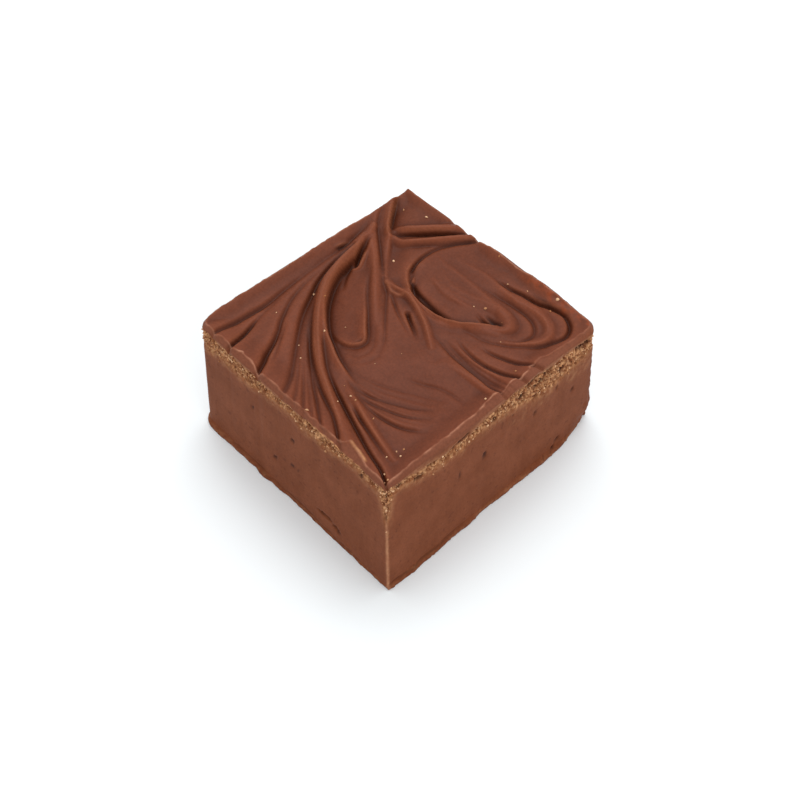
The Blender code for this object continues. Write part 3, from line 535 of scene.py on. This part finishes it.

# Where the skin stands high or low over its surroundings: broad crests, and the sharp and sunken thin lines.
# The material paints light and shade from them: crests lighter and low ground darker, a highlight on the
# sharp lines and shade in the sunken ones.
heights = top_z.reshape(len(back), len(across))
crest = step((heights - blurred(blurred(heights, 5), 5)).ravel(), -0.4, 0.4)
fine = smoothed(heights - blurred(heights, 2)).ravel()
inner = top_gap > 1.5
sharp_highlight = step(fine, 0.03, 0.2) * inner
seam = step(-fine, 0.05, 0.28) * inner


def traced(lines, width):
    """Share from 0 to 1 near drawn lines: each line's own force, fading as a bell curve across the width."""
    share = np.zeros(len(top_xy))
    for points, levels in lines:
        near, _, distance, force = follow(top_xy, points, levels, 3 * width)
        share[near] = np.maximum(share[near], force * np.exp(-((distance / width) ** 2)))
    return share


# Painted shade along deep folds, and painted highlights along thin crests.
FOLDS = (
    (LOOP_FOLD, (1.1, 1.2, 1.2, 1, 0.6, 0)),
    ([(10.3, 15.3), (12.4, 15), (14.7, 15.2)], (0, 1.2, 1.2)),
    ([(12.5, 26), (16.6, 26.8), (20.5, 26.9)], (0, 0.8, 0.5)),
    (FAN_SLIT, (1.2, 0.8)),
)
GLINTS = (
    ([(-5.2, 9), (-3.4, 8), (-0.4, 7.6), (2, 7.5), (4.5, 7.6)], (0.8, 1.2, 1, 0.6, 0)),
    (LEAF_RIB, (1.2, 1, 0.8, 0)),
    (CROWN_RIB, (0.4, 1.2, 1.2, 0)),
    ([(-25.5, 6.2), (-25.1, 8.3)], (0.8, 0.5)),
)
# Painted shade in the folds and along the front arcs, painted highlights on the thin crests.
seam = np.clip(np.maximum(seam, 1.3 * traced(FOLDS, 0.5)), 0, 1.5)
seam = np.maximum(seam, traced([(arc, (0, 0.45, 0.55, 0.35, 0)) for arc in FRONT_ARCS], 0.4))
sharp_highlight = np.maximum(sharp_highlight, 1.6 * traced(GLINTS, 0.22))

# Rim points run round the grid from the -X -Y corner, through +X -Y, as the sides do.
grid = np.arange(len(top_xy)).reshape(len(back), len(across))
rim = np.concatenate([grid[0, :-1], grid[:-1, -1], grid[-1, :0:-1], grid[:0:-1, 0]])
rim_side = np.repeat(range(4), [len(across) - 1, len(back) - 1, len(across) - 1, len(back) - 1])

# Rows down the sides: fine through the crumb band, wider over the smooth face, fine again at the base. Below
# the band every other column goes on down.
BAND_ROWS = np.arange(1, 25) * 0.33
FACE_ROWS = RIM_HEIGHT - np.concatenate([np.linspace(23.5, 7.2, 18), np.linspace(6.7, 4.4, 6)])
FOOT_ROWS = RIM_HEIGHT - np.array([3.5, 2.6, 2, 1.6, 1.3, 1, 0.7, 0.35, 0.12])
LOWER_ROWS = np.concatenate([FACE_ROWS, FOOT_ROWS])


def drawn_down(columns, columns_side, rows):
    """Carries rim points down the cut sides: each row is the outline at its own share of the rim's height."""
    levels = 1 - rows / RIM_HEIGHT
    places_xy = outline(np.tile(top_square[columns], (len(rows), 1)), np.repeat(levels, len(columns)))
    ring = places_xy.reshape(len(rows), len(columns), 2)
    tangent = np.roll(ring, -2, axis=1) - np.roll(ring, 2, axis=1)
    outward = np.stack([tangent[..., 1], -tangent[..., 0]], -1)
    outward = (outward / np.linalg.norm(outward, axis=-1, keepdims=True)).reshape(-1, 2)
    s = np.where(columns_side % 2 == 0, top_xy[columns, 0], top_xy[columns, 1])
    places = np.column_stack([places_xy, np.outer(levels, top_z[columns]).ravel()])
    return places, outward, np.tile(columns_side, len(rows)), np.tile(s, len(rows))


sparse = rim[::2]
drawn = zip(drawn_down(rim, rim_side, BAND_ROWS), drawn_down(sparse, rim_side[::2], LOWER_ROWS))
side_xyz, outward, side_of, side_s = (np.concatenate(pair) for pair in drawn)
side_xy, side_z = side_xyz[:, :2], side_xyz[:, 2]
starts, ends = (along_sides(name, side_of, side_s) for name in ("starts", "ends"))


def crumb_band(places, starts, ends, height):
    """How far a place lies in the crumb band, with ragged ends; height runs on up the bevel."""
    wander = 0.45 * noise(places, 1.3, 3) + 0.3 * noise(places, 0.5, 4)
    return step(starts + 0.5 * wander - height, -0.1, 0.25) * step(height - ends - 1.2 * wander, -0.9, 0.9)


# The front corner is torn all the way up from the middle of its height, with a thin painted highlight on the
# edge, laid in the crumbs' tint and the lip's pale tint.
band = crumb_band(side_xyz, starts, ends, side_z)
front = np.hypot(*(
    side_xy[:, axis] - np.interp(side_z, (0, RIM_HEIGHT), (BASE_CORNERS[1, axis], RIM_CORNERS[1, axis]))
    for axis in (0, 1)
))
torn_width = np.interp(side_z, (14, 20, 26, 30), (0, 0.35, 1, 2))
torn = step(torn_width + 0.4 * noise(side_xyz, 1, 11) - front, -0.2, 0.4) * step(side_z, 14, 18)
band = np.maximum(band, torn)
edge_highlight = np.exp(-((front / 0.32) ** 2)) * (side_z < 31)

# Sugar dust lies a little way round the band, and the band itself is open in places like lace.
DUST_REACH = 1.2
dusted = step(starts + DUST_REACH - side_z, -0.6, 0.8)
dusted *= step(side_z - ends + DUST_REACH + 0.6 * noise(side_xyz, 1.6, 26), -1.3, 1.3)
dusted = np.maximum(dusted, step(torn_width + DUST_REACH - front, -0.6, 1) * step(side_z, 18, 26))
lace = noise(side_xyz, 0.7, 18) + 0.35 * step(starts - side_z, 2.4, 0)
open_band = band * np.clip(0.9 + 0.8 * lace, 0.3, 1)
open_band = np.maximum(np.maximum(open_band, 0.2 * dusted), 0.85 * edge_highlight)

# Relief of the sides: grains with gaps and fallen-out pits in the band, and faint drag lines below it.
near_grain, crevice, share = grains(side_xyz, np.array([0.75, 0.75, 0.42]), 5)
gap_dark = 1 - step(crevice, 0.02, 0.3)
pit = step(share, 0.85, 0.95)
relief = -0.15 + 0.25 * (0.55 - near_grain) - 0.3 * gap_dark - 0.6 * pit
relief += 0.2 * noise(side_xyz, 0.9, 6)
offset = band * relief
offset += 0.05 * (1 - band) * step(side_z, 28, 31)
streak = noise(side_xyz, np.array([0.9, 0.9, 14]), 7)
offset += 0.02 * (1 - band) * streak + 0.05 * noise(side_xyz, 4, 8)

# Small marks on the faces: side, place along it, height, half width, half height, turn and depth. The crumbs
# round a mark in the band fell out with it, so that it is wider than drawn. Marks pressed in get painted
# shade.
MARKS = (
    (0, -5.4, 9.9, 0.6, 0.7, 0, 0.5), (0, 0.5, 21.5, 0.5, 0.6, 0, 0.4), (0, 9.6, 5.8, 2.4, 0.55, 2, 1.2),
    (0, 13, 4.9, 1.4, 0.4, -30, 0.8), (0, -0.3, 13.1, 2.6, 0.16, -4, 0.2),
    (0, -2.1, 20.3, 0.3, 0.25, 0, -0.2), (0, 4.4, 17.7, 0.4, 0.2, 30, -0.2),
    (0, -18.7, 1.9, 0.5, 0.4, 0, -0.25), (0, 20.9, 30.1, 0.4, 0.3, 0, 0.3), (0, -12, 20.5, 0.4, 0.7, 15, 0.3),
    (1, 11.1, 19.7, 0.5, 0.6, 0, 0.4), (1, 4.6, 25, 0.3, 0.25, 0, 0.25), (1, 22.5, 17.8, 0.5, 0.6, 0, 0.4),
    (1, 17.5, 22.3, 0.5, 0.6, 0, 0.4), (1, 2, 20.6, 0.35, 0.25, 0, -0.2), (2, -11, 18.4, 0.5, 0.35, 10, 0.35),
    (2, 6.5, 9.2, 2.2, 0.3, -4, 0.4), (2, 17, 22, 0.35, 0.3, 0, 0.3), (3, 9, 12.5, 1.8, 0.3, 5, 0.35),
    (3, -14, 20.6, 0.4, 0.35, 0, 0.3), (0, 15.8, 2.2, 1.1, 0.7, 20, -0.3), (1, -10.3, 19.1, 0.5, 0.6, 0, 0.5),
    (1, -3.4, 19.2, 0.7, 0.7, 20, 0.6), (1, 18.3, 3.5, 0.8, 0.6, 0, 0.6), (1, 17, 1.8, 0.6, 0.5, 0, 0.5),
    (1, 10, 31, 1.6, 0.5, 20, 0.8), (1, 12.2, 28.5, 1.5, 0.5, 10, 0.8), (1, 14.6, 30.3, 1.4, 0.5, 20, 0.8),
    (1, 18.7, 27.5, 0.9, 0.5, 0, 0.8), (1, 7.1, 28.7, 0.9, 0.5, 0, 0.7), (1, -0.7, 28.4, 0.6, 0.5, 0, 0.6),
    (1, -26.1, 30.5, 0.8, 0.35, 0, 0.6), (1, -21, 28.6, 1.2, 0.35, 0, 0.6),
    (1, -17.7, 29.7, 1.2, 0.3, 0, 0.6), (1, -10.5, 29.8, 3, 0.3, 12, 0.6),
    (1, 25.5, 29.6, 2.2, 0.6, -15, 0.9),
)
BAND_MARKS_FROM = 27
dent_shade = np.zeros(len(side_z))
for which, at, height, wide, tall, turn, depth in MARKS:
    if height > BAND_MARKS_FROM:
        wide, tall = 1.2 * wide, 1.5 * tall
    angle = np.radians(turn)
    ds, dz = side_s - at, side_z - height
    a = (ds * np.cos(angle) + dz * np.sin(angle)) / wide
    b = (dz * np.cos(angle) - ds * np.sin(angle)) / tall
    mark = np.clip(1 - a**2 - b**2, 0, 1) * (side_of == which)
    offset -= depth * mark
    dent_shade = np.maximum(dent_shade, np.minimum(2.2 * mark, 1) * (depth > 0))

# The foot: the fudge swells out where it was pressed on the board, or is worn in. In places a ragged burr
# hangs over it with a ledge above, which is also painted dark as shade, and grains were scraped up along the
# board.
foot_reach = along_sides("foot", side_of, side_s)
offset += foot_reach * np.where(foot_reach > 0, step(1.7 - side_z, 0, 0.7), step(6 - side_z, 0, 5))
burr_share = np.select([side_of == 1, side_of == 0], [
    np.interp(side_s, (-30, -27, -14, -6), (0.3, 1, 0.8, 0)),
    np.interp(side_s, (-22, -18, 12, 20, 28), (0, 0.5, 0.7, 0.5, 0)),
])
burr_line = 1.35 + 0.35 * noise(side_xyz * (1, 1, 0), 2.5, 27)
ledge = burr_share * np.exp(-(((side_z - burr_line) / 0.28) ** 2))
offset -= 0.3 * ledge
dent_shade = np.maximum(dent_shade, 0.6 * ledge)
# The base edge is also painted darker and redder in the material, as shade at the foot.
base_edge = np.maximum(step(0.8 - side_z, 0, 0.7), burr_share * step(burr_line - side_z, 0, 0.3))
scraped = step(1.6 - side_z, 0, 0.6) * np.clip(noise(side_xyz, 0.7, 37) + 0.35, 0, 1)
open_band = np.maximum(open_band, 0.2 * scraped)

# The +X +Y corner is rough from top to bottom, and the +X side is grazed and dusty under its crumb band.
ROUGH_CORNER = (29.6, 31.2)
corner = np.hypot(side_xy[:, 0] - ROUGH_CORNER[0], side_xy[:, 1] - ROUGH_CORNER[1])
rough_corner = step(3.2 + 1.2 * noise(side_xyz, 1.6, 24) - corner, 0, 1.2) * step(30 - side_z, 0, 2)
offset += rough_corner * (0.2 * noise(side_xyz, 0.8, 25) + 0.2 * noise(side_xyz, 2.2, 28) - 0.12)
grazed = (side_of == 1) * np.interp(side_s, (2, 10, 24, 30), (0, 1, 1, 0.6))
grazed = grazed * step(side_z, 19, 23) * (1 - band) * np.clip(0.6 + 0.9 * noise(side_xyz, 2.4, 29), 0, 1)
offset += grazed * (0.07 * noise(side_xyz, 0.7, 30) + 0.05 * noise(side_xyz, 0.45, 31))
open_band = np.maximum(open_band, 0.3 * grazed * np.clip(noise(side_xyz, 0.5, 32) + 0.4, 0, 1))
offset += base_edge * (0.12 * noise(side_xyz, 0.6, 9) + 0.1 * noise(side_xyz, 2, 10) - 0.1)
side_xy = side_xy + outward * offset[:, None]
side_xyz = np.column_stack([side_xy, side_z])

# Underneath, rings shrink to the middle of the flat face that the slab was poured on.
SHRINK = np.array([0.985, 0.5])
foot = side_xyz[-len(sparse):, :2]
under = np.concatenate([np.column_stack([foot * share_in, np.zeros(len(sparse))]) for share_in in SHRINK])
points = np.concatenate([np.column_stack([top_xy, top_z]), side_xyz, under, [(0, 0, 0)]])


def walls_between(rings):
    """Quads round the block between each ring of points and the next one down."""
    upper, lower = rings[:-1], rings[1:]
    return np.stack([lower, np.roll(lower, -1, 1), np.roll(upper, -1, 1), upper], -1).reshape(-1, 4).tolist()


def mesh_piece(name, points, faces):
    """A smooth-shaded object at the origin, from points in millimetres and lists of corner numbers."""
    mesh = bpy.data.meshes.new(name)
    mesh.from_pydata(points * MM, [], faces)
    mesh.shade_smooth()
    piece = bpy.data.objects.new(name, mesh)
    bpy.context.scene.collection.objects.link(piece)
    return piece


def give_attribute(piece, name, values):
    """Stores one number at each point of the mesh, for a material to read."""
    attribute = piece.data.attributes.new(name, "FLOAT", "POINT")
    attribute.data.foreach_set("value", np.asarray(values, np.float32))


band_end = len(top_xy) + len(BAND_ROWS) * len(rim)
fine_rings = np.vstack([rim, np.arange(len(top_xy), band_end).reshape(-1, len(rim))])
wide_rings = band_end + np.arange((len(LOWER_ROWS) + len(SHRINK)) * len(sparse)).reshape(-1, len(sparse))
above, below = fine_rings[-1], wide_rings[0]
joint = [below, np.roll(below, -1), np.roll(above, -2)[::2], above[1::2], above[::2]]
walls = walls_between(fine_rings) + np.stack(joint, -1).tolist() + walls_between(wide_rings)
cells = np.stack([grid[:-1, :-1], grid[:-1, 1:], grid[1:, 1:], grid[1:, :-1]], -1).reshape(-1, 4)
centre = np.stack([np.full(len(sparse), len(points) - 1), np.roll(wide_rings[-1], -1), wide_rings[-1]], -1)
body = mesh_piece("fudge_body", points, [*cells.tolist(), *walls, *centre.tolist()])

# The band runs on up the bevel, and the skin by the +X +Y corner is thin, warm and rust brown.
top_height = RIM_HEIGHT + 2.9 * top_gap
top_ends = (along_sides(name, top_side, top_s) for name in ("starts", "ends"))
top_band = crumb_band(np.column_stack([top_xy, top_z]), *top_ends, top_height) * (bevel_share > 0.05)
top_band = np.maximum(top_band * np.clip(0.9 + noise(flat, 0.7, 20), 0.2, 1), 0.85 * flake)
rust = step(3.2 + 0.8 * noise(flat, 1.4, 33) - edge_gaps[2], 0, 1.5) * step(top_xy[:, 0], 6, 12)
rust *= step(0.9 + noise(flat, 0.9, 34), 0.2, 1.4)

# What the material reads, for the points on top, on the sides and underneath.
PARTS = (len(top_xy), len(side_z), len(under) + 1)
looks = {
    "cut": (step(bevel_share, 0, 0.35), 1, 1),
    "crumb": (top_band, open_band, 0),
    "sharp_highlight": (sharp_highlight, 0, 0),
    "seam": (seam, 0, 0),
    "grain": (0.5, share, 0),
    "pit": (0, step(band, 0.4, 0.9) * np.maximum(pit, gap_dark), 0),
    "painted_dent_shade": (0, dent_shade, 0),
    "crest": (crest, 0.5, 0.5),
    "lip": (lip, edge_highlight, 0),
    "rust": (rust, 0, 0),
    "base": (0, np.maximum(base_edge, 0.8 * rough_corner), 1),
}
for name, values in looks.items():
    give_attribute(body, name, np.concatenate([np.broadcast_to(*part) for part in zip(values, PARTS)]))


def linear(colour):
    """An sRGB hex colour as the linear values that a shader takes."""
    values = np.array([int(colour[i : i + 2], 16) for i in (1, 3, 5)]) / 255
    return (*np.where(values <= 0.04045, values / 12.92, ((values + 0.055) / 1.055) ** 2.4), 1)


def add_node(material, kind, out=0, settings=None, **inputs):
    """Adds a shader node, and gives back its output socket number out, where it has any.

    Settings go by name, and inputs by name or number; an input takes a value, or a socket to link from.
    """
    node = material.node_tree.nodes.new("ShaderNode" + kind)
    for name, value in (settings or {}).items():
        setattr(node, name, value)
    for name, value in inputs.items():
        socket = node.inputs[int(name[1:]) if name[0] == "_" else name.replace("_", " ")]
        if isinstance(value, bpy.types.NodeSocket):
            material.node_tree.links.new(value, socket)
        else:
            socket.default_value = value
    return node.outputs[out] if node.outputs else None


# Milk-chocolate fudge: a satin skin where the spatula closed the surface, and a drier, lighter cut face. It
# gives the eye brown clouds on top, painted shade in the valleys, folds and dents, painted highlights on the
# crests, sharp lines and lip, drag lines down the faces and painted shade along the foot.
fudge = bpy.data.materials.new("chocolate_fudge")
fudge.use_nodes = True
fudge.node_tree.nodes.clear()
place = add_node(fudge, "TexCoord", 3)
drawn = add_node(fudge, "Mapping", Vector=place, Scale=(1, 1, 0.08))
masks = {name: add_node(fudge, "Attribute", 2, {"attribute_name": name}) for name in looks}

# Noises by size in metres. The true grit is finer than 0.4 mm and would not show.
NOISES = (
    ("cloud", place, 0.009, 3), ("drag", drawn, 0.0016, 2), ("blotch", place, 0.006, 4),
    ("speckle", place, 0.0005, 2), ("pricks", place, 0.0011, 1), ("grit", place, 0.0004, 3),
)
noises = {
    name: add_node(fudge, "TexNoise", Vector=over, Scale=1 / size, Detail=detail)
    for name, over, size, detail in NOISES
}
blotch = add_node(fudge, "MapRange", Value=noises["blotch"], From_Min=0.35, From_Max=0.65)
drag = add_node(fudge, "Mix", 0, {"data_type": "FLOAT"}, Factor=0.5, _2=noises["drag"], _3=blotch)
pricks = add_node(fudge, "MapRange", Value=noises["pricks"], From_Min=0.65, From_Max=0.74, To_Max=0.4)
speckle = add_node(
    fudge, "MapRange", Value=noises["speckle"], From_Min=0.3, From_Max=0.7, To_Min=0.9, To_Max=1.1,
)
height = add_node(fudge, "SeparateXYZ", 2, Vector=place)
near_top = add_node(fudge, "MapRange", Value=height, From_Min=0.031, From_Max=0.0326)

# Pairs of tints, and what moves between them. The valley and ridge tints are the skin in painted shade and
# in painted light.
RGBA = {"data_type": "RGBA"}
PAIRS = (
    ("valley", noises["cloud"], "#4B2212", "#572A1A"), ("ridge", noises["cloud"], "#6C3620", "#7A4029"),
    ("face", drag, "#6A361C", "#7E462C"), ("crumb", masks["grain"], "#A0643C", "#DEA878"),
    ("bevel", noises["cloud"], "#6C3C2A", "#7E4C38"),
)
tints = {
    name: add_node(fudge, "Mix", 2, RGBA, Factor=by, _6=linear(first), _7=linear(second))
    for name, by, first, second in PAIRS
}
face = add_node(fudge, "Mix", 2, RGBA, Factor=pricks, _6=tints["face"], _7=linear("#4A2210"))
face = add_node(fudge, "Mix", 2, RGBA, Factor=near_top, _6=face, _7=tints["bevel"])

# The skin, and then what lies over it in order: each layer's mask, how much of it shows, and its colour.
# Several are painted light and shade: crests lighter, shade in the seams, highlights on sharp lines and the
# lip, shade in dents and under the ledge, and shade at the foot, which also gives the rough corner its red.
LAYERS = (
    ("crest", 1, tints["ridge"]), ("seam", 0.6, linear("#2E1208")), ("sharp_highlight", 0.3, linear("#95593C")),
    ("rust", 0.5, linear("#8A3C18")), ("cut", 1, face), ("crumb", 1, tints["crumb"]),
    ("pit", 1, linear("#6A361A")), ("painted_dent_shade", 0.9, linear("#30140A")), ("lip", 0.75, linear("#B07A60")),
    ("base", 0.5, linear("#6B3218")),
)
colour = tints["valley"]
for name, strength, tint in LAYERS:
    part = add_node(fudge, "Math", 0, {"operation": "MULTIPLY"}, _0=masks[name], _1=strength)
    colour = add_node(fudge, "Mix", 2, RGBA, Factor=part, _6=colour, _7=tint)
colour = add_node(fudge, "VectorMath", 0, {"operation": "SCALE"}, _0=colour, Scale=speckle)
bump = add_node(fudge, "Bump", Height=noises["grit"], Strength=0.25, Distance=0.0001)
rough = add_node(fudge, "MapRange", Value=masks["cut"], To_Min=0.44, To_Max=0.7)
shader = add_node(
    fudge, "BsdfPrincipled", Base_Color=colour, Roughness=rough, Normal=bump, Specular_IOR_Level=0.12,
)
add_node(fudge, "OutputMaterial", Surface=shader)
body.data.materials.append(fudge)
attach(body, "root")
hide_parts("fudge_block")


# Loose sugar grains: the dry crumbs of fudge that the knife broke free and left clinging to the torn band
# and to the top of the front edge. They are drawn coarser than real ones, which would be too fine to show.
GRAINS = 1300
rng = np.random.default_rng(21)

# A ball of twelve corners, with the triples of corners that touch as its faces, turned to look outwards.
golden = (1 + 5**0.5) / 2
corners = np.array([(0, a, b * golden) for a in (-1, 1) for b in (-1, 1)], float)
corners = np.concatenate([np.roll(corners, turn, axis=1) for turn in range(3)]) / np.hypot(1, golden)
gaps = np.linalg.norm(corners[:, None] - corners, axis=2)
touching = (gaps < 1.1) & (gaps > 0.1)
faces = [f for f in np.ndindex(12, 12, 12) if f[0] < f[1] < f[2] and touching[f, (*f[1:], f[0])].all()]
faces = np.array([f if np.linalg.det(corners[list(f)]) > 0 else f[::-1] for f in faces])


def lumps_at(places, sizes, spins):
    """A ball with uneven corners at each place, stretched to its sizes and then turned by its matrix."""
    shapes = corners * sizes * rng.uniform(0.8, 1.2, (len(places), 12, 1))
    return (np.einsum("nij,nkj->nki", spins, shapes) + places[:, None]).reshape(-1, 3)


chance = band * (side_z > 17)
seat = rng.choice(len(side_z), GRAINS, p=chance / chance.sum())
jitter = rng.uniform(-0.13, 0.13, (GRAINS, 3))
radius = 0.08 + 0.2 * rng.uniform(0, 1, (GRAINS, 1, 1)) ** 2 * rng.uniform(0.7, 1.3, (GRAINS, 1, 3))
spin = np.linalg.qr(rng.normal(size=(GRAINS, 3, 3)))[0]
lumps = lumps_at(side_xyz[seat] + jitter, radius, spin)
flipped = np.linalg.det(spin)[:, None, None] < 0
grain_faces = np.where(flipped, faces[:, ::-1], faces) + 12 * np.arange(GRAINS)[:, None, None]
crumb_piece = mesh_piece("crumb_grains", lumps, grain_faces.reshape(-1, 3).tolist())
give_attribute(crumb_piece, "tone", np.repeat(rng.uniform(0, 1, GRAINS) ** 1.5, 12))

# Dry crumbs: matt and pale, each its own shade of toffee.
sugar = bpy.data.materials.new("dry_fudge_crumbs")
sugar.use_nodes = True
sugar.node_tree.nodes.clear()
tone = add_node(sugar, "Attribute", 2, {"attribute_name": "tone"})
tint = add_node(sugar, "Mix", 2, RGBA, Factor=tone, _6=linear("#A86E44"), _7=linear("#E6BC94"))
shader = add_node(sugar, "BsdfPrincipled", Base_Color=tint, Roughness=0.8, Specular_IOR_Level=0.2)
add_node(sugar, "OutputMaterial", Surface=shader)
crumb_piece.data.materials.append(sugar)
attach(crumb_piece, "root")


# Flecks on the skin: sugar crumbs of the same fudge that fell back on the wet top and stuck there. Each is a
# place on the top and a size.
FLECKS = (
    (-18.5, 26.4, 0.4), (-24, 24.6, 0.3), (1.5, 28.7, 0.3), (7.8, 24.8, 0.25), (9.3, 16.4, 0.4),
    (7.2, 15.1, 0.2), (14.5, 15.9, 0.15), (19.2, 25.6, 0.3), (18.3, 28.8, 0.5), (-14.3, 12.3, 0.35),
    (17.8, 12, 0.25), (12.1, 26.3, 0.2), (-19, -6.5, 0.3), (-15.4, -6.5, 0.25), (-8.7, -12.5, 0.25),
    (-7.4, -8, 0.2), (4.1, -10.3, 0.15), (6, -4.7, 0.15), (-7.5, -20.1, 0.3), (6.3, -22.3, 0.2),
    (4, -28.3, 0.4), (7, -19.5, 0.3), (8.5, -19.6, 0.25), (4.1, -18.6, 0.2), (14, -20, 0.3),
    (22.7, -22, 0.25), (24, -22.2, 0.3), (23.3, -20.7, 0.3), (22.4, -24.3, 0.3), (25, -27.3, 0.3),
    (-20, -16, 0.2), (-10.5, -18, 0.2), (25.2, 8.5, 0.3), (26, -1, 0.25), (26.6, -27.9, 0.3),
    (26.1, -28.3, 0.25),
)
flecks = np.array(FLECKS)
nearest_point = np.hypot(*(top_xy[:, None] - flecks[:, :2]).transpose(2, 0, 1)).argmin(0)
fleck_places = np.column_stack([flecks[:, :2], top_z[nearest_point]])
size = flecks[:, 2, None, None] * rng.uniform(0.5, 1.1, (len(flecks), 1, 3))
spin = np.linalg.qr(rng.normal(size=(len(flecks), 3, 3)))[0]
spin *= np.linalg.det(spin)[:, None, None]
fleck_faces = (faces + 12 * np.arange(len(flecks))[:, None, None]).reshape(-1, 3).tolist()
fleck_piece = mesh_piece("skin_flecks", lumps_at(fleck_places, size, spin), fleck_faces)
give_attribute(fleck_piece, "tone", np.repeat(rng.uniform(0, 1, len(flecks)), 12))
fleck_piece.data.materials.append(sugar)
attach(fleck_piece, "root")


# The table: a wide board painted plain white, matt enough to show nothing but the block's shadow. It is
# where the block stands and not part of it.
bpy.ops.mesh.primitive_plane_add(size=6, location=(0, 0, 0))
table = bpy.context.object
table.name = "table"
board = bpy.data.materials.new("white_board")
board.use_nodes = True
paint = board.node_tree.nodes["Principled BSDF"].inputs
for name, value in (("Base Color", linear("#F2F7F9")), ("Roughness", 0.9), ("Specular IOR Level", 0)):
    paint[name].default_value = value
table.data.materials.append(board)


# Light: a bright overcast room, with a broad soft lamp overhead and a little behind, and a window on the
# right. Each lamp faces the block.
world = bpy.data.worlds.new("soft_room")
bpy.context.scene.world = world
world.use_nodes = True
world.node_tree.nodes["Background"].inputs["Color"].default_value = (1, 1, 1, 1)
world.node_tree.nodes["Background"].inputs["Strength"].default_value = 0.84
LAMPS = (("overhead_softbox", 0.9, 8.6, (-0.33, 0.38, 1.3)), ("side_window", 1, 2.9, (1.2, -0.05, 0.8)))
for name, size, energy, at in LAMPS:
    lamp = bpy.data.lights.new(name, "AREA")
    lamp.size, lamp.energy = size, energy
    holder = bpy.data.objects.new(name, lamp)
    holder.location = at
    holder.rotation_euler = Vector(at).to_track_quat("Z", "Y").to_euler()
    bpy.context.scene.collection.objects.link(holder)


# Camera: over the front corner, looking down at 53 degrees with a lens of about 50 mm. It stands level, so
# its own sideways direction has no height.
AZIMUTH, ELEVATION = np.radians(46.35), np.radians(53.13)
lens = bpy.data.cameras.new("view")
lens.lens, lens.sensor_width = 52.587, 36
camera = bpy.data.objects.new("view", lens)
sideways = Vector((np.cos(AZIMUTH), np.sin(AZIMUTH), 0))
level = np.sin(AZIMUTH) * np.cos(ELEVATION), -np.cos(AZIMUTH) * np.cos(ELEVATION)
behind = Vector((*level, np.sin(ELEVATION)))
turned = Matrix((sideways, behind.cross(sideways), behind)).transposed().to_4x4()
turned.translation = (0.114155, -0.108325, 0.216350)
camera.matrix_world = turned
bpy.context.scene.collection.objects.link(camera)
bpy.context.scene.camera = camera
bpy.context.scene.view_settings.view_transform = "Standard"
